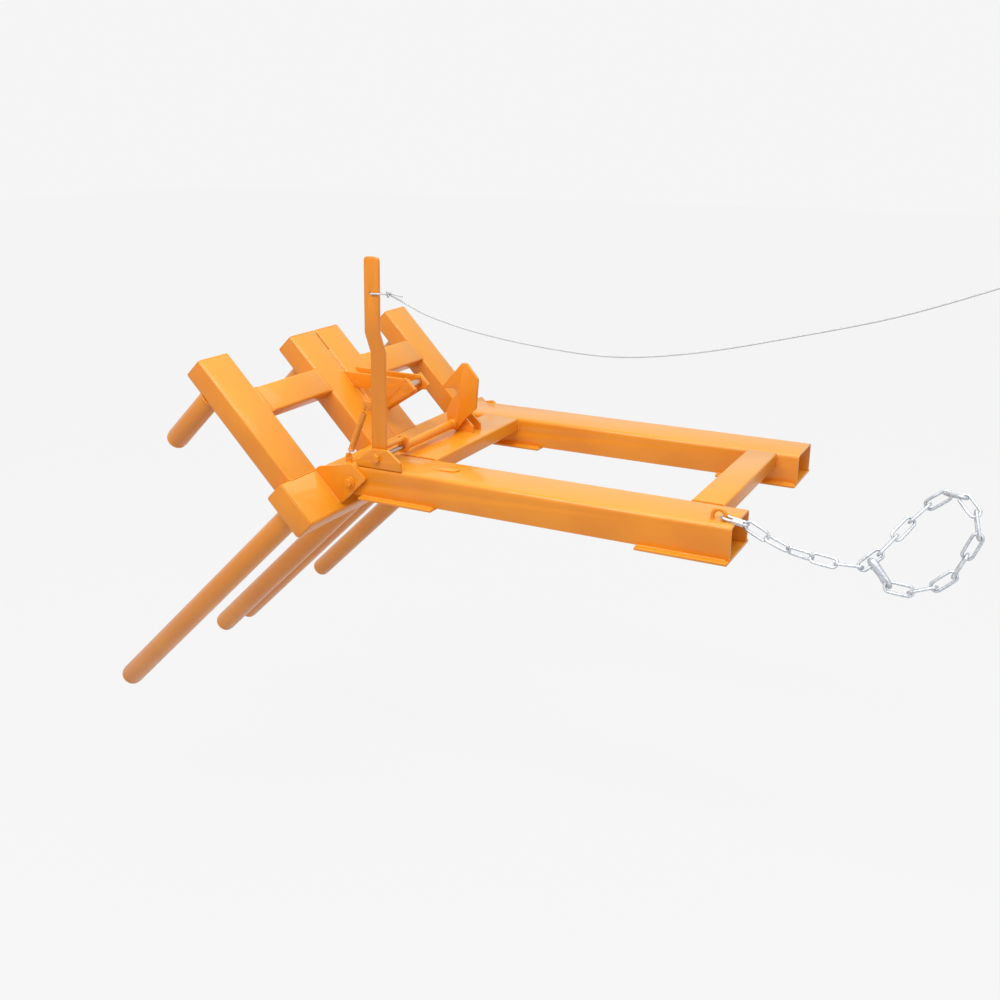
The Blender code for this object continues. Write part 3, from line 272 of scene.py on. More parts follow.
def braided_cord(name):
    """Off-white braided cord, with painted shade in the grooves between its plaits."""
    finish = Finish(name)
    where = finish.place()
    strands = finish.node("ShaderNodeTexCoord", output="UV")
    along = finish.node("ShaderNodeSeparateXYZ", {}, {0: strands}, output="Y")
    round_it = finish.node("ShaderNodeSeparateXYZ", {}, {0: strands}, output="X")
    left = finish.maths("SINE", along * PLAIT_PITCH + round_it * 3 * tau)
    right = finish.maths("SINE", along * PLAIT_PITCH - round_it * 3 * tau)
    plait = finish.maths("MAXIMUM", left, right).clear_above(-0.4, 0.9)
    fuzz = finish.noise(where, 1500.0, 3.0)
    grime = finish.noise(where, 9.0, 3.0).clear_above(0.4, 0.75)
    # Painted shade: the grooves between the plaits are coloured darker
    colour = finish.blend(plait, PAINTED_GROOVE_SHADE, PLAIT_CREST)
    colour = finish.blend(grime * 0.2, colour, GRIME)
    finish.set(Base_Color=colour, Roughness=0.78 + 0.15 * fuzz, Sheen_Weight=0.15,
               Normal=finish.bump(plait + 0.4 * fuzz, 0.0004, 0.8))
    return finish.material


# The hook's notch, where the catch pin lies once the cradle is upright
NOTCH = PIVOT + Vector(CATCH_PIN)
COAT = powder_coat("orange_powder_coat")
HOOK_COAT = powder_coat("orange_coat_worn_at_notch", (tuple(NOTCH), 0.0205))
CHAIN_ZINC = zinc_plate("chain_zinc")
SHAFT_STEEL = bright_bar("bright_shaft_steel", SHAFT_TONE)
PIN_STEEL = bright_bar("bright_pin_steel", PIN_TONE)
CORD = braided_cord("braided_pull_cord")


# Modelling steps

SAME_PLACE = 0.000005


def let_go():
    if bpy.context.object and bpy.context.object.mode != "OBJECT":
        bpy.ops.object.mode_set(mode="OBJECT")
    bpy.ops.object.select_all(action="DESELECT")


def take(*pieces):
    let_go()
    for piece in pieces:
        piece.select_set(True)
    bpy.context.view_layer.objects.active = pieces[0]


def edit(piece, choose=None):
    """Edit mode with the chosen vertices selected; choose gets each vertex's place."""
    take(piece)
    bpy.ops.object.mode_set(mode="EDIT")
    bpy.ops.mesh.select_mode(type="VERT")
    bpy.ops.mesh.select_all(action="DESELECT")
    work = bmesh.from_edit_mesh(piece.data)
    for vertex in work.verts:
        vertex.select = choose is None or bool(choose(vertex.co))
    work.select_flush(True)
    bmesh.update_edit_mesh(piece.data)


def modify(piece, kind, **settings):
    take(piece)
    modifier = piece.modifiers.new(kind.lower(), kind)
    for key, value in settings.items():
        setattr(modifier, key, value)
    bpy.ops.object.modifier_apply(modifier=modifier.name)


def smooth(piece, angle):
    take(piece)
    bpy.ops.object.shade_smooth_by_angle(angle=radians(angle))


def settle(piece):
    take(piece)
    bpy.ops.object.transform_apply(location=True, rotation=True, scale=True)


def tidy_faces(piece):
    edit(piece)
    bpy.ops.mesh.remove_doubles(threshold=SAME_PLACE)
    bpy.ops.mesh.normals_make_consistent(inside=False)
    bpy.ops.object.mode_set(mode="OBJECT")


def join(name, pieces):
    take(*pieces)
    bpy.ops.object.join()
    piece = bpy.context.object
    piece.name = name
    return piece


def fit(piece, body, slot, material, *nodes):
    """Paints a finished piece and sets it on its body, in place of the nodes named."""
    piece.data.materials.clear()
    piece.data.materials.append(material)
    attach(piece, body)
    if nodes:
        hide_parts(*nodes)
    return piece


def z_towards(direction):
    """The turn that brings the Z axis into a direction."""
    return Vector(direction).to_track_quat("Z", "Y").to_matrix().to_4x4()


def turned(name, profile, start, direction, steps=48):
    """A turned piece: the profile is drawn point by point and spun about its axis."""
    let_go()
    bpy.ops.mesh.primitive_circle_add(vertices=3, radius=0.001)
    piece = bpy.context.object
    piece.name = name
    edit(piece)
    bpy.ops.mesh.merge(type="CENTER")
    radius, height = profile[0]
    bpy.ops.transform.translate(value=(radius, 0, height))
    for (r0, h0), (r1, h1) in zip(profile, profile[1:]):
        step = (r1 - r0, 0, h1 - h0)
        bpy.ops.mesh.extrude_region_move(TRANSFORM_OT_translate={"value": step})
    bpy.ops.mesh.select_all(action="SELECT")
    bpy.ops.mesh.spin(steps=steps, angle=tau, center=(0, 0, 0), axis=(0, 0, 1))
    tidy_faces(piece)
    piece.matrix_world = Matrix.Translation(start) @ z_towards(direction)
    settle(piece)
    smooth(piece, 30)
    return piece


def hexagon(name, radius, height, start, direction, spin=0.0):
    """A hexagon head with its outer corners taken off."""
    let_go()
    bpy.ops.mesh.primitive_cylinder_add(vertices=6, radius=radius, depth=height,
                                        location=(0, 0, height / 2))
    piece = bpy.context.object
    piece.name = name
    settle(piece)
    edit(piece, lambda co: co.z > height * 0.9)
    bpy.ops.mesh.bevel(offset=height * 0.13, segments=3, profile=0.6, affect="EDGES")
    bpy.ops.object.mode_set(mode="OBJECT")
    turn = z_towards(direction) @ Matrix.Rotation(spin, 4, "Z")
    piece.matrix_world = Matrix.Translation(start) @ turn
    settle(piece)
    smooth(piece, 30)
    return piece


def along_curve(name, points, radius, radii=None, closed=False, resolution=3):
    """A round bar, wire or bead along points; radii scale it from point to point."""
    curve = bpy.data.curves.new(name, "CURVE")
    curve.dimensions = "3D"
    curve.bevel_depth = radius
    curve.bevel_resolution = resolution
    curve.use_fill_caps = not closed
    spline = curve.splines.new("POLY")
    spline.points.add(len(points) - 1)
    for i, (point, place) in enumerate(zip(spline.points, points)):
        point.co = (*place, 1)
        point.radius = radii[i] if radii else 1.0
    spline.use_cyclic_u = closed
    piece = bpy.data.objects.new(name, curve)
    bpy.context.collection.objects.link(piece)
    take(piece)
    bpy.ops.object.convert(target="MESH")
    piece = bpy.context.object
    tidy_faces(piece)
    smooth(piece, 60)
    return piece


# Sheet and tube pieces, whose corners are eased

# The node's name, the piece's name and the width of its eased corners
FRAME_SIDES = (("pocket_", "fork_pocket_", 0.0012), ("strap_front_", "front_strap_", 0.0012),
               ("strap_rear_", "rear_strap_", 0.0012),
               ("hook_bearing_", "hook_bearing_plate_", 0.0009))
CRADLE_SIDES = (("lug_", "pivot_lug_", 0.0012), ("bridge_", "bridge_tube_", 0.0008),
                ("lower_tube_cap_", "end_plate_", 0.0012), ("catch_arm_", "catch_strut_", 0.0010),
                ("catch_post_", "catch_upright_", 0.0010))
RAIL_PARTS = (("rail_", "rail_tube_", 0.0008), ("rail_cap_", "rail_end_", 0.0010))
FRAME_SINGLES = (("cross_tube_front", "front_cross_tube", 0.0009),
                 ("cross_tube_rear", "rear_cross_tube", 0.0009),
                 ("latch_plate_outer", "outer_latch_plate", 0.0009),
                 ("spring_anchor", "spring_anchor_plate", 0.0009))
CRADLE_SINGLES = (("lower_tube", "lower_cradle_tube", 0.0011),)
LATCH_SINGLES = (("lever", "lever_bar", 0.0012), ("spring_tab", "lever_spring_tab", 0.0012),
                 ("crank_plate", "shaft_crank", 0.0012))


def eased(name, node, width):
    """The node's own shape with its sharp edges rounded a little."""
    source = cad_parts[node]
    piece = bpy.data.objects.new(name, source.data.copy())
    bpy.context.collection.objects.link(piece)
    edit(piece)
    bpy.ops.mesh.remove_doubles(threshold=SAME_PLACE)
    bpy.ops.mesh.select_all(action="SELECT")
    bpy.ops.mesh.dissolve_limited(angle_limit=radians(0.4))
    bpy.ops.object.mode_set(mode="OBJECT")
    modify(piece, "BEVEL", width=width, segments=2, limit_method="ANGLE", angle_limit=radians(38),
           use_clamp_overlap=True)
    smooth(piece, 40)
    return piece


def eased_set(body, rows, spot=""):
    for node, name, width in rows:
        piece = eased(name + spot, node + spot, width)
        fit(piece, body, "orange_paint", COAT, node + spot)


def sheet_and_tube_work():
    for word in ("near", "far"):
        eased_set("fork_frame", FRAME_SIDES, word)
        eased_set("cradle", CRADLE_SIDES, word)
        for rank in TINES_Y:
            eased_set("cradle", RAIL_PARTS, f"{word}_{rank}")
    eased_set("fork_frame", FRAME_SINGLES)
    eased_set("cradle", CRADLE_SINGLES)
    eased_set("latch", LATCH_SINGLES)
    hook = eased("latch_hook", "hook_plate", 0.0010)
    fit(hook, "latch", "orange_paint", HOOK_COAT, "hook_plate")


sheet_and_tube_work()


# Turned pieces and bolts

def rod(name, radius, start, end, chamfer=0.0008, steps=48):
    """A round bar with its ends eased."""
    length = (end - start).length
    profile = [(0, 0), (radius - chamfer, 0), (radius, chamfer), (radius, length - chamfer),
               (radius - chamfer, length), (0, length)]
    return turned(name, profile, start, end - start, steps)


def tine(node, length, radius, root):
    """Tube with a shallow ring where its domed nose is welded on."""
    ring = length - 0.026
    nose = radius - 0.0016
    dome = 0.022
    profile = [(0, 0), (radius, 0), (radius, ring - 0.0040), (radius - 0.0008, ring - 0.0022),
               (radius - 0.0032, ring - 0.0004), (radius - 0.0034, ring + 0.0006),
               (nose - 0.0006, ring + 0.0024)]
    for degrees in (82, 72, 62, 52, 42, 32, 22, 12, 5):
        angle = radians(degrees)
        profile.append((nose * sin(angle) ** 0.8, length - dome * (1 - cos(angle))))
    profile.append((0, length))
    piece = turned(node.replace("tine", "drum_tine"), profile, root, -BEHIND, 64)
    fit(piece, "cradle", "orange_paint", COAT, node)


def tines():
    for word, side in (("near", -1), ("far", 1)):
        for rank, (long_y, short_y) in TINES_Y.items():
            tine(f"tine_long_{word}_{rank}", LONG_LENGTH, LONG_RADIUS,
                 in_cradle(TINE_ROOT, side * long_y, LONG_HEIGHT))
            tine(f"tine_short_{word}_{rank}", SHORT_LENGTH, SHORT_RADIUS,
                 in_cradle(TINE_ROOT, side * short_y, SHORT_HEIGHT))


def washer(name, radius, hole, thickness, start, direction):
    ease = 0.0006
    profile = [(hole, 0), (radius - ease, 0), (radius, ease), (radius, thickness - ease),
               (radius - ease, thickness), (hole, thickness), (hole, 0)]
    return turned(name, profile, start, direction)


def pivot_bolts():
    """Head and washer outside each lug, washer, nut and thread end inside each pocket."""
    for word, side in (("near", -1), ("far", 1)):
        out = SIDEWAYS * side
        hole = 0.0118
        outside = 0.4713
        inside = POCKET_INNER_Y - WELD_GAP
        under_head, under_nut = 0.0034, 0.004
        pieces = [rod("shank", 0.012, PIVOT + out * (inside - 0.022),
                      PIVOT + out * (outside + 0.006), 0.0015),
                  washer("head_washer", 0.0195, hole, under_head, PIVOT + out * outside, out),
                  washer("nut_washer", 0.022, hole, under_nut, PIVOT + out * inside, -out),
                  hexagon("head", 0.0132, 0.010, PIVOT + out * (outside + under_head), out, 0.35),
                  hexagon("nut", 0.0180, 0.014, PIVOT + out * (inside - under_nut), -out, 0.1)]
        bolt = join("pivot_bolt_set_" + word, pieces)
        fit(bolt, "fork_frame", "orange_paint", COAT, "pivot_bolt_" + word)


def latch_shafting():
    near = -POCKET_OUTER_Y - WELD_GAP
    far = 0.1003
    thread = 0.006
    bar = rod("latch_shaft_bar", 0.008, SHAFT + SIDEWAYS * (near - thread),
              SHAFT + SIDEWAYS * (far + thread))
    fit(bar, "fork_frame", "bright_steel", SHAFT_STEEL, "latch_shaft")
    heads = [hexagon("near_head", 0.0135, 0.010, SHAFT + SIDEWAYS * near, -SIDEWAYS, 0.2),
             hexagon("far_nut", 0.0135, 0.010, SHAFT + SIDEWAYS * far, SIDEWAYS)]
    fit(join("latch_shaft_heads", heads), "fork_frame", "orange_paint", COAT)
    start, end = TORSION_TUBE_Y
    length = end - start
    hole = 0.0083
    profile = [(hole, 0), (0.0160, 0), (0.0165, 0.0006), (0.0165, 0.0113), (0.0158, 0.012),
               (0.0143, 0.0127), (0.0143, length - 0.016), (0.0168, length - 0.0135),
               (0.0174, length - 0.007), (0.0168, length), (hole, length), (hole, 0)]
    tube = turned("latch_torsion_tube", profile, SHAFT + SIDEWAYS * start, SIDEWAYS)
    fit(tube, "latch", "orange_paint", COAT, "torsion_tube")
    near, far = (DRIVE_PIN + SIDEWAYS * y for y in DRIVE_PIN_Y)
    pin = rod("latch_drive_pin", 0.008, near, far, 0.0005)
    fit(pin, "latch", "orange_paint", COAT, "drive_pin")


def catch_bolt():
    """Bright pin between the uprights, its ends welded flush and painted over."""
    centre = in_cradle(*CATCH_PIN)
    reach = SIDEWAYS * CATCH_REACH
    pin = rod("catch_cross_pin", 0.0125, centre - reach, centre + reach)
    fit(pin, "cradle", "bright_steel", PIN_STEEL, "catch_pin")
    profile = [(0, 0.0012), (0.0098, 0.0012), (0.0128, 0.0008), (0.0150, 0), (0, -0.001)]
    ends = [turned("plug", profile, centre + reach * side, SIDEWAYS * side) for side in (-1, 1)]
    fit(join("catch_pin_welds", ends), "cradle", "orange_paint", COAT)


tines()
pivot_bolts()
latch_shafting()
catch_bolt()


# Wire, rope and chain

def smooth_route(route, per_span=12):
    """Smooth curve through given points."""
    points = [Vector(p) for p in route]
    padded = [points[0] * 2 - points[1]] + points + [points[-1] * 2 - points[-2]]
    out = []
    for i in range(len(points) - 1):
        a, b, c, d = padded[i:i + 4]
        for k in range(per_span):
            t = k / per_span
            out.append(0.5 * ((2 * b) + (c - a) * t + (2 * a - 5 * b + 4 * c - d) * t * t
                              + (3 * b - a - 3 * c + d) * t ** 3))
    return out + [points[-1]]


def path_length(points):
    return sum((b - a).length for a, b in zip(points, points[1:]))


def even_points(route, count):
    """Splits a smooth route into equal lengths."""
    curve = smooth_route(route)
    lengths = [0.0]
    for a, b in zip(curve, curve[1:]):
        lengths.append(lengths[-1] + (b - a).length)
    points = []
    span = 0
    for i in range(count + 1):
        target = lengths[-1] * i / count
        while span < len(curve) - 2 and lengths[span + 1] < target:
            span += 1
        share = (target - lengths[span]) / (lengths[span + 1] - lengths[span])
        points.append(curve[span].lerp(curve[span + 1], share))
    return points


def arc(centre, radius, start, end, steps):
    angles = [start + (end - start) * i / steps for i in range(steps + 1)]
    return [(centre[0] + radius * cos(a), centre[1] + radius * sin(a)) for a in angles]


CORD_RADIUS = 0.0025
CORD_SIDES = 12


def cord_tube(name, points, radius=CORD_RADIUS):
    """A closed tube whose UV runs round it and along it in metres, for the plaits."""
    sides = CORD_SIDES
    work = bmesh.new()
    strands = work.loops.layers.uv.new("plait")
    rings, travelled = [], [0.0]
    across = None
    for i, here in enumerate(points):
        ahead = (points[min(i + 1, len(points) - 1)] - points[max(i - 1, 0)]).normalized()
        across = UP.cross(ahead) if across is None else across - ahead * across.dot(ahead)
        across.normalize()
        other = ahead.cross(across)
        ring = []
        for k in range(sides):
            angle = tau * k / sides
            ring.append(work.verts.new(here + (across * cos(angle) + other * sin(angle)) * radius))
        rings.append(ring)
        if i:
            travelled.append(travelled[-1] + (here - points[i - 1]).length)
    for i in range(len(rings) - 1):
        for k in range(sides):
            n = (k + 1) % sides
            face = work.faces.new((rings[i][k], rings[i][n], rings[i + 1][n], rings[i + 1][k]))
            corners = ((k, i), (k + 1, i), (k + 1, i + 1), (k, i + 1))
            for loop, (u, v) in zip(face.loops, corners):
                loop[strands].uv = (u / sides, travelled[v])
    for ring in (rings[0], rings[-1]):
        work.faces.new(ring)
    bmesh.ops.recalc_face_normals(work, faces=work.faces)
    mesh = bpy.data.meshes.new(name)
    work.to_mesh(mesh)
    work.free()
    piece = bpy.data.objects.new(name, mesh)
    bpy.context.collection.objects.link(piece)
    smooth(piece, 60)
    return piece


def pulled_knot(name, centre):
    """A knot pulled tight: the rope's own thickness wound through itself."""
    size, steps = 0.0031, 72
    path = []
    for i in range(steps + 1):
        t = tau * i / steps
        turn = Vector((sin(t) + 2 * sin(2 * t), 1.1 * sin(3 * t), cos(t) - 2 * cos(2 * t)))
        path.append(centre + turn * size)
    return cord_tube(name, path)


def bend_with_latch(piece):
    """Bakes the piece's placement into its mesh; neither end is tied to the frame or the latch."""
    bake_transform(piece)


ROPE_HOLE = SHAFT + LEVER_UP * 0.510 + SIDEWAYS * -0.470
LEVER_KNOT = ROPE_HOLE + Vector((0.056, 0, 0.002))
KNOT_REACH = 0.0106
HAND_LOOP_RADIUS = 0.045
ROPE_ROUTE = [Vector(p) for p in (
    (-0.998, -0.468, 0.527), (-0.918, -0.461, 0.494), (-0.763, -0.448, 0.457),
    (-0.553, -0.428, 0.429), (-0.353, -0.408, 0.421), (-0.138, -0.386, 0.450),
    (0.112, -0.357, 0.510), (0.343, -0.329, 0.574), (0.555, -0.301, 0.653),
    (0.635, -0.289, 0.689))]


def pull_cord():
    """The rope from the lever's knot to its hand loop, sagging between the two."""
    start = LEVER_KNOT + (ROPE_ROUTE[0] - LEVER_KNOT).normalized() * KNOT_REACH
    run = even_points([start] + ROPE_ROUTE, 50)
    end = run[-1]
    ahead = (end - run[-2]).normalized()
    upright = SIDEWAYS.cross(ahead)
    centre = end + ahead * HAND_LOOP_RADIUS
    loop_steps = 30
    loop = []
    for i in range(1, loop_steps):
        angle = pi + tau * i / loop_steps
        loop.append(centre + ahead * (HAND_LOOP_RADIUS * cos(angle))
                    + upright * (HAND_LOOP_RADIUS * sin(angle)))
    path = even_points(run, 440) + even_points([end] + loop, 90)[1:]
    cord = cord_tube("pull_cord", path)
    hand_knot = pulled_knot("hand_loop_knot", end)
    bend_with_latch(cord)
    cord.data.materials.append(CORD)
    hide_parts("pull_rope")
    fit(hand_knot, "fork_frame", "rope", CORD)
    path_length(path)


def lever_knot():
    """The loop through the lever's hole and the knot that closes it."""
    near = SIDEWAYS * -0.0095
    inset = Vector((0.004, 0, 0))
    third, half = (LEVER_KNOT.lerp(ROPE_HOLE, share) for share in (0.3, 0.55))
    path = [LEVER_KNOT + near * 0.3, third + near * 0.8, half + near, ROPE_HOLE + near + inset,
            ROPE_HOLE + near * 0.85, ROPE_HOLE, ROPE_HOLE - near * 0.85,
            ROPE_HOLE - near + inset, half - near, third - near * 0.8, LEVER_KNOT - near * 0.3]
    loop = cord_tube("loop", smooth_route(path, 6))
    tail_route = [LEVER_KNOT + Vector(p) for p in (
        (0, -0.002, 0.002), (0.010, -0.006, 0.004), (0.028, -0.008, 0.001),
        (0.054, -0.009, -0.003))]
    tail = cord_tube("tail", smooth_route(tail_route, 8), 0.0023)
    knot = join("lever_rope_loop", [pulled_knot("knot", LEVER_KNOT), loop, tail])
    fit(knot, "latch", "rope", CORD, "rope_knot")


def return_spring():
    """Close-wound extension spring with a hook at each end."""
    wire, coil_radius = 0.0013, 0.0092
    turns, per_turn = 40, 16
    spring_y = SIDEWAYS * -0.440
    tab_hole = SHAFT + LEVER_OUT * 0.04774 + LEVER_UP * 0.154 + spring_y
    anchor_hole = Vector((-1.240, 0, 0.0243)) + spring_y
    axis = (anchor_hole - tab_hole).normalized()
    other = axis.cross(SIDEWAYS)
    in_hole, hook, shank, rise = axis * 0.0019, axis * 0.020, axis * 0.014, axis * 0.002
    upper, lower = tab_hole + in_hole, anchor_hole - in_hole
    start, end = upper + hook, lower - hook
    clear = SIDEWAYS * 0.0053
    steps = turns * per_turn
    coil = []
    for i in range(steps + 1):
        angle = tau * i / per_turn
        around = SIDEWAYS * -cos(angle) + other * sin(angle)
        coil.append(start.lerp(end, i / steps) + around * coil_radius)
    points = [upper + clear, upper - clear, upper - clear + shank, start - rise] + coil
    points += [end + rise, lower - clear - shank, lower - clear, lower + clear]
    spring = along_curve("latch_return_spring", points, wire, resolution=2)
    spring.data.materials.append(COAT)
    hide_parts("return_spring")
    bend_with_latch(spring)


# Where the chain hangs, and the way the photograph looks at it
LOOK = Vector((-0.18, 0.91, -0.36)).normalized()
RUN_LINKS, LOOP_LINKS = 5, 13
LINK_PITCH, LINK_WIDTH, LINK_WIRE = 0.0625, 0.0262, 0.0041
QUICK_LENGTH, QUICK_WIDTH, QUICK_WIRE = 0.0738, 0.0245, 0.0039
QUICK_DIP = radians(8.6)
QUICK_AHEAD = Vector((cos(QUICK_DIP), 0, -sin(QUICK_DIP)))
QUICK_START = Vector((-0.045, EYE_Y, POCKET_TOP + 0.0107)) + QUICK_AHEAD * 0.0042
QUICK_FAR = QUICK_START + QUICK_AHEAD * QUICK_LENGTH
RUN_ROUTE = [QUICK_FAR - QUICK_AHEAD * 0.0044, (0.095, -0.422, -0.024), (0.157, -0.430, -0.042),
             (0.221, -0.436, -0.048), (0.287, -0.442, -0.052), (0.337, -0.447, -0.046)]
LOOP_ROUTE = [RUN_ROUTE[-1], (0.384, -0.425, 0.003), (0.416, -0.385, 0.048),
              (0.460, -0.345, 0.102), (0.512, -0.350, 0.148), (0.560, -0.400, 0.152),
              (0.598, -0.438, 0.100), (0.581, -0.445, 0.039), (0.553, -0.448, -0.029),
              (0.512, -0.450, -0.067), (0.460, -0.451, -0.088), (0.405, -0.452, -0.084)]
CHAIN_JOINTS = even_points(RUN_ROUTE, RUN_LINKS) + even_points(LOOP_ROUTE, LOOP_LINKS)[1:]


def chain_link(name, length, width, radius, bulge=1.0):
    """A torus pulled out to a link, with the swelling of its weld in one side.

    Its length and width run along the wire's middle.
    """
    let_go()
    bpy.ops.mesh.primitive_torus_add(major_segments=28, minor_segments=14, major_radius=width / 2,
                                     minor_radius=radius)
    link = bpy.context.object
    link.name = name
    stretch = (length - width) / 2
    for way in (1, -1):
        edit(link, lambda co: co.x * way > 0.0001)
        bpy.ops.transform.translate(value=(way * stretch, 0, 0))
        bpy.ops.object.mode_set(mode="OBJECT")
    edit(link, lambda co: abs(co.x) < 0.0001 and co.y > 0)
    bpy.ops.mesh.bevel(offset=0.0028, segments=2, affect="EDGES")
    bpy.ops.object.mode_set(mode="OBJECT")
    edit(link, lambda co: abs(co.x) < 0.0012 and co.y > 0)
    bpy.ops.transform.resize(value=(1, bulge, bulge), center_override=(0, width / 2, 0))
    bpy.ops.object.mode_set(mode="OBJECT")
    smooth(link, 60)
    return link


def lay_link(link, first, last, across):
    ahead = (last - first).normalized()
    turn = Matrix((ahead, across, ahead.cross(across))).transposed().to_4x4()
    link.matrix_world = Matrix.Translation((first + last) / 2) @ turn
    settle(link)


def chain():
    links = []
    pattern = chain_link("link", LINK_PITCH + 0.0076, LINK_WIDTH, LINK_WIRE, 1.12)
    for i, (first, last) in enumerate(zip(CHAIN_JOINTS, CHAIN_JOINTS[1:])):
        link = pattern.copy()
        link.data = pattern.data.copy()
        bpy.context.collection.objects.link(link)
        ahead = (last - first).normalized()
        roll = (i + min(i + 1, RUN_LINKS) / RUN_LINKS) * pi / 2
        flat = LOOK.cross(ahead).normalized()
        lay_link(link, first, last, flat * cos(roll) + ahead.cross(flat) * sin(roll))
        links.append(link)
    bpy.data.objects.remove(pattern)
    fit(join("chain_links", links), "fork_frame", "zinc", CHAIN_ZINC, "chain")


def quick_link():
    """Long oval link with a threaded gap and the hexagon sleeve that closes it."""
    ring = chain_link("ring", QUICK_LENGTH, QUICK_WIDTH, QUICK_WIRE)
    lay_link(ring, QUICK_START, QUICK_FAR, SIDEWAYS)
    middle = (QUICK_START + QUICK_FAR) / 2 - QUICK_AHEAD * 0.004 - SIDEWAYS * 0.0122
    nut = hexagon("sleeve", 0.0082, 0.030, middle, QUICK_AHEAD)
    pitch = 0.0015
    threads = []
    for i in range(1, 6):
        place = middle - QUICK_AHEAD * (pitch * i)
        threads.append(rod("thread", 0.0043, place, place + QUICK_AHEAD * 0.0007, 0.0002, 20))
    link = join("chain_quick_link", [ring, nut] + threads)
    fit(link, "fork_frame", "zinc", CHAIN_ZINC, "quick_link")


def share_of(value, low, high):
    """0 at low, 1 at high, and straight between."""
    return max(0.0, min(1.0, (value - low) / (high - low)))


def snap_hook():
    """Drop-forged hook, thick along its back, with a sprung gate on a rivet."""
    nose = CHAIN_JOINTS[RUN_LINKS].lerp(CHAIN_JOINTS[RUN_LINKS + 1], 0.45)
    last_link = (CHAIN_JOINTS[-2] - CHAIN_JOINTS[-1]).normalized()
    eye = CHAIN_JOINTS[-1] + last_link * 0.0060
    ahead = (eye - nose).normalized()
    length = (eye - nose).length
    back = (LOOK - ahead * LOOK.dot(ahead)).normalized()
    twist = radians(15)
    gate_side = back * cos(twist) + back.cross(ahead) * sin(twist)
    wire, radius = 0.004, 0.017
    outline = [(0.022, radius), (radius, radius)]
    outline += arc((radius, 0), radius, pi / 2, 3 * pi / 2, 14)[1:]
    outline += [(x, -radius) for x in (0.026, 0.035, 0.044, 0.053)]
    outline += arc((length - radius, 0), radius, -pi / 2, pi / 2, 14) + [(0.057, radius)]
    points = [nose + ahead * x + gate_side * y for x, y in outline]
    radii = [1.30 + 1.3 * share_of(y, 0.004, -0.014) * max(0.1, share_of(x, 0.080, 0.020))
             for x, y in outline]
    body = along_curve("snap_hook_body", points, wire, radii, resolution=5)
    side = ahead.cross(gate_side)
    root = nose + ahead * 0.0565 + gate_side * radius
    rivet = rod("rivet", 0.0022, root - side * 0.0052, root + side * 0.0052, 0.0005, 24)
    fit(join("snap_hook_body", [body, rivet]), "fork_frame", "zinc", CHAIN_ZINC, "snap_hook")
    tip = nose + ahead * 0.0225 + gate_side * radius
    stations = [root.lerp(tip, share) for share in (0.02, 0.1, 0.3, 0.7, 0.92, 1.0)]
    gate = along_curve("snap_hook_gate", stations, 0.003, [1.15, 1.15, 1.0, 1.0, 1.12, 0.8])
    fit(gate, "gate", "zinc", CHAIN_ZINC, "snap_gate")


def chain_eye():
    """The bent bar on the near pocket that the quick link hangs in."""
    bend = EYE_BEND
    outline = [(bend, 0), (bend, 0.004), (bend, 0.008)] + arc((0, 0.0112), bend, 0, pi, 26)
    outline += [(-bend, 0.008), (-bend, 0.004), (-bend, 0)]
    base = Vector((EYE_X, EYE_Y, POCKET_TOP + WELD_GAP))
    points = [base + Vector((x, 0, z)) for x, z in outline]
    eye = along_curve("chain_staple", points, 0.0055, resolution=5)
    fit(eye, "fork_frame", "orange_paint", COAT, "chain_eye")


pull_cord()
lever_knot()
return_spring()
chain_eye()
chain()
quick_link()
snap_hook()


# Welds

RIPPLE = 2.1
BEAD_RADIUS = 0.0030


def bead(start, end, radius=BEAD_RADIUS):
    """A rippled weld bead from one point straight to another."""
    steps = max(2, round((end - start).length / 0.0024))
    path = [start.lerp(end, i / steps) for i in range(steps)] + [end]
    radii = [1.0 + 0.10 * sin(i * RIPPLE) + 0.06 * sin(i * 0.61 + start.x * 90)
             for i in range(len(path))]
    radii[0] = radii[-1] = 0.55
    return along_curve("bead", path, radius, radii, resolution=1)


def ring_bead(centre, direction, radius, thickness=0.0028):
    """A weld right round a tube."""
    turn = z_towards(direction).to_3x3()
    steps = round(tau * radius / 0.0026)
    angles = [tau * i / steps for i in range(steps)]
    path = [centre + turn @ Vector((radius * cos(a), radius * sin(a), 0)) for a in angles]
    radii = [1.0 + 0.12 * sin(i * RIPPLE) for i in range(steps)]
    return along_curve("bead", path, thickness, radii, closed=True, resolution=1)


def ground_fill(behind, sideways, height):
    """A weld between two tube faces, ground flush with them."""
    let_go()
    bpy.ops.mesh.primitive_cube_add(size=1)
    fill = bpy.context.object
    sizes = [abs(b - a) for a, b in (behind, sideways, height)]
    fill.scale = sizes
    settle(fill)
    modify(fill, "BEVEL", width=0.0007, segments=2)
    middle = in_cradle(*[(a + b) / 2 for a, b in (behind, sideways, height)])
    turn = Matrix((BEHIND, SIDEWAYS, ALONG_RAILS)).transposed().to_4x4()
    fill.matrix_world = Matrix.Translation(middle) @ turn
    settle(fill)
    smooth(fill, 40)
    return fill


def upright_bead(behind, sideways, low, high, radius=BEAD_RADIUS):
    return bead(in_cradle(behind, sideways, low), in_cradle(behind, sideways, high), radius)


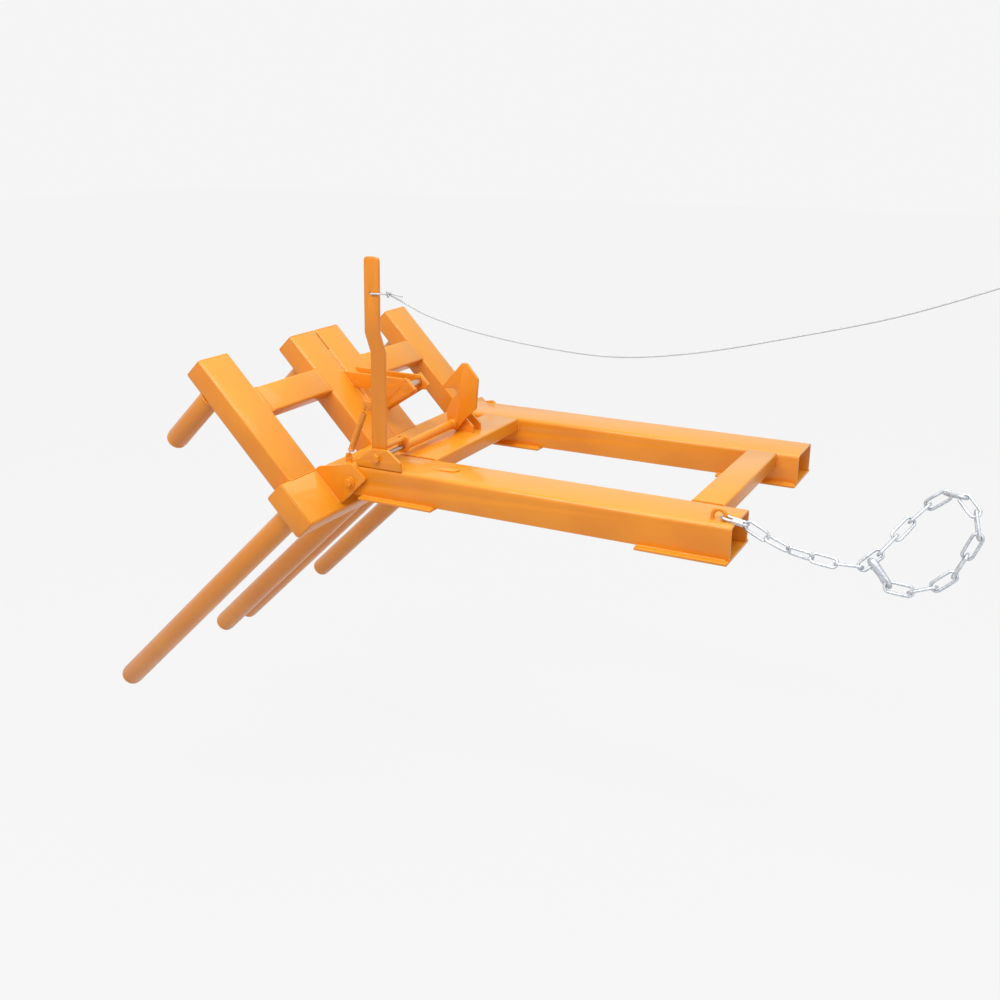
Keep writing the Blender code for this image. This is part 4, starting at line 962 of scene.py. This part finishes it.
def cradle_welds():
    """Rails on the lower tube, bridges, lugs, tines and the catch's uprights and struts."""
    beads = []
    tube_top, tube_seam = 0.1103, 0.1075
    post_face = -0.0809
    root, proud = TINE_ROOT - WELD_GAP, 0.0006
    for side in (-1, 1):
        for edge in (0.4595, 0.1400, 0.5985):
            beads.append(bead(in_cradle(-0.153, side * edge, tube_top),
                              in_cradle(-0.089, side * edge, tube_top)))
        for low, high in ((0.004, 0.136), (0.464, 0.595)):
            for behind in (-0.0850, -0.1570):
                beads.append(bead(in_cradle(behind, side * low, tube_seam),
                                  in_cradle(behind, side * high, tube_seam), 0.0050))
        for low, high in ((0.4500, 0.4700), (0.1290, 0.1490)):
            beads.append(ground_fill((-0.0866, -0.0808), (side * low, side * high),
                                     (0.3425, 0.4415)))
        for edge in (0.4587, 0.1405):
            beads.append(upright_bead(-0.1305, side * edge, 0.349, 0.435, 0.0024))
        for face in (0.4588, 0.4712):
            beads.append(upright_bead(-0.0812, side * face, -0.028, 0.104))
        for long_y, short_y in TINES_Y.values():
            beads.append(ring_bead(in_cradle(root, side * long_y, LONG_HEIGHT), BEHIND,
                                   LONG_RADIUS + proud))
            beads.append(ring_bead(in_cradle(root, side * short_y, SHORT_HEIGHT), BEHIND,
                                   SHORT_RADIUS + proud))
        post = CATCH_PIN[1] + side * CATCH_REACH
        strut = CATCH_PIN[1] + side * 0.0443
        beads.append(upright_bead(post_face, post, 0.204, 0.254, 0.0026))
        beads.append(upright_bead(post_face, strut, 0.333, 0.396, 0.0026))
    beads.append(upright_bead(-0.0815, 0.0, 0.500, 0.575, 0.0024))
    fit(join("cradle_weld_beads", beads), "cradle", "orange_paint", COAT)


def round_ended_pad():
    """Thin plate on the near pocket, round at one end, fading into the paint at the other."""
    faded_end = -0.968
    outline = [(faded_end, -0.340), (faded_end, -0.386)]
    outline += arc((-0.908, -0.363), 0.023, -pi / 2, pi / 2, 16)
    let_go()
    bpy.ops.mesh.primitive_circle_add(vertices=len(outline), fill_type="NGON")
    pad = bpy.context.object
    pad.name = "round_ended_pad"
    for vertex, (x, y) in zip(pad.data.vertices, outline):
        vertex.co = (x, y, POCKET_TOP + WELD_GAP)
    edit(pad)
    bpy.ops.mesh.extrude_region_move(TRANSFORM_OT_translate={"value": (0, 0, 0.0034)})
    edit(pad, lambda co: co.x < faded_end + 0.008 and co.z > POCKET_TOP + 0.001)
    bpy.ops.transform.translate(value=(0, 0, -0.0030))
    bpy.ops.object.mode_set(mode="OBJECT")
    tidy_faces(pad)
    modify(pad, "BEVEL", width=0.0008, segments=2, limit_method="ANGLE", angle_limit=radians(50))
    smooth(pad, 40)
    fit(pad, "fork_frame", "orange_paint", COAT, "pocket_pad")


def level_bead(low, high, y, z, radius=BEAD_RADIUS):
    return bead(Vector((low, y, z)), Vector((high, y, z)), radius)


def frame_welds():
    """Cross tubes and straps on the pockets, and what stands on the pockets' tops."""
    beads = []
    proud = 0.0002
    level = POCKET_TOP + proud
    for side in (-1, 1):
        joint = side * (POCKET_INNER_Y - proud)
        crease = side * (POCKET_INNER_Y + 0.0030)
        for low, high in ((-1.151, -1.011), (-0.170, -0.070)):
            for edge in (low, high):
                foot, head = Vector((edge, joint, -0.038)), Vector((edge, joint, -0.006))
                beads.append(bead(foot, head, 0.0036))
            beads.append(level_bead(low, high, crease, -0.0048, 0.0050))
            beads.append(level_bead(low + 0.008, high - 0.008, joint, -0.0442, 0.0026))
        for start in (-1.184, -0.264):
            for wall in (POCKET_OUTER_Y + proud, POCKET_INNER_Y - proud):
                beads.append(level_bead(start, start + 0.255, side * wall, -0.0912))
    beads.append(level_bead(-1.196, -1.041, -0.4478, level))
    for plate in (0.040, 0.090):
        for face in (plate - 0.0042, plate + 0.0042):
            beads.append(level_bead(-1.122, -1.062, face, level, 0.0024))
    for face in (-0.4432, -0.4368):
        beads.append(level_bead(-1.249, -1.231, face, level, 0.0022))
    for leg in (EYE_X - EYE_BEND, EYE_X + EYE_BEND):
        beads.append(ring_bead(Vector((leg, EYE_Y, level)), UP, 0.0060, 0.0020))
    fit(join("frame_weld_beads", beads), "fork_frame", "orange_paint", COAT)


def latch_welds():
    """Both ends of the torsion tube and of the drive pin, and the spring's tab on the lever."""
    start, end = TORSION_TUBE_Y
    beads = [ring_bead(SHAFT + SIDEWAYS * end, SIDEWAYS, 0.0140, 0.0020),
             ring_bead(SHAFT + SIDEWAYS * start, SIDEWAYS, 0.0168, 0.0016)]
    for y in DRIVE_PIN_Y:
        beads.append(ring_bead(DRIVE_PIN + SIDEWAYS * y, SIDEWAYS, 0.0084, 0.0016))
    for face in (-0.4433, -0.4367):
        foot = SHAFT + SIDEWAYS * face + LEVER_OUT * 0.0252
        beads.append(bead(foot + LEVER_UP * 0.145, foot + LEVER_UP * 0.171, 0.0018))
    fit(join("latch_weld_beads", beads), "latch", "orange_paint", COAT)


round_ended_pad()
cradle_welds()
frame_welds()
latch_welds()


# Studio

PAGE = (0.915, 0.915, 0.915, 1)
FLOOR_PAINT = (0.58, 0.58, 0.58, 1)
FLOOR_GLOW = (0.945, 0.945, 0.945, 1)
GLOW_SHARE = 0.94
FLOOR_HEIGHT = -1.43
SKY_LIGHT = 0.42
SEEN_RAYS = ("Is Camera Ray", "Is Glossy Ray", "Is Transmission Ray")

# Name, place, power, width and depth of each soft lamp
LAMPS = (("key_softbox", (-2.0, -3.7, 3.5), 62, 2.6, 2.6),
         ("strip_softbox", (-0.8, -2.6, 3.6), 88, 4.4, 0.32),
         ("top_softbox", (0.2, 0.6, 4.4), 95, 3.6, 3.6),
         ("fill_softbox", (3.4, -3.4, 1.6), 45, 3.0, 3.0))
LAMPS_AIM = Vector((-0.9, 0, -0.1))


def set_floor():
    """Pale floor: mostly a glow for the rays that see it, and paint that takes the shadow."""
    let_go()
    bpy.ops.mesh.primitive_plane_add(size=60, location=(0, 0, FLOOR_HEIGHT))
    floor = bpy.context.object
    floor.name = "studio_floor"
    finish = Finish("studio_floor_white")
    camera, glossy, through = (finish.node("ShaderNodeLightPath", output=ray) for ray in SEEN_RAYS)
    seen = finish.maths("MAXIMUM", finish.maths("MAXIMUM", camera, glossy), through)
    finish.set(Base_Color=FLOOR_PAINT, Roughness=0.9)
    tree = finish.tree
    glow = tree.nodes.new("ShaderNodeEmission")
    glow.inputs["Color"].default_value = FLOOR_GLOW
    mix = tree.nodes.new("ShaderNodeMixShader")
    tree.links.new((seen * GLOW_SHARE).socket, mix.inputs[0])
    tree.links.new(finish.shader.outputs[0], mix.inputs[1])
    tree.links.new(glow.outputs[0], mix.inputs[2])
    tree.links.new(mix.outputs[0], tree.nodes["Material Output"].inputs["Surface"])
    floor.data.materials.append(finish.material)


def set_lamps():
    for name, place, power, width, depth in LAMPS:
        bpy.ops.object.light_add(type="AREA", location=place)
        lamp = bpy.context.object
        lamp.name = name
        lamp.data.energy = power
        lamp.data.shape = "RECTANGLE"
        lamp.data.size, lamp.data.size_y = width, depth
        lamp.rotation_euler = (LAMPS_AIM - Vector(place)).to_track_quat("-Z", "Y").to_euler()


def set_world():
    """Page white for the rays that see it, and a dimmer sky to light the object."""
    world = bpy.data.worlds.new("studio_white")
    bpy.context.scene.world = world
    world.use_nodes = True
    tree = world.node_tree
    sky = tree.nodes["Background"]
    path = tree.nodes.new("ShaderNodeLightPath")
    seen = path.outputs[SEEN_RAYS[0]]
    for ray in SEEN_RAYS[1:]:
        either = tree.nodes.new("ShaderNodeMath")
        either.operation = "MAXIMUM"
        tree.links.new(seen, either.inputs[0])
        tree.links.new(path.outputs[ray], either.inputs[1])
        seen = either.outputs[0]
    level = tree.nodes.new("ShaderNodeMapRange")
    level.inputs["To Min"].default_value = SKY_LIGHT
    level.inputs["To Max"].default_value = 1.0
    tree.links.new(seen, level.inputs["Value"])
    tree.links.new(level.outputs[0], sky.inputs["Strength"])
    sky.inputs["Color"].default_value = PAGE


set_floor()
set_world()
set_lamps()
bpy.context.scene.view_settings.view_transform = "Standard"
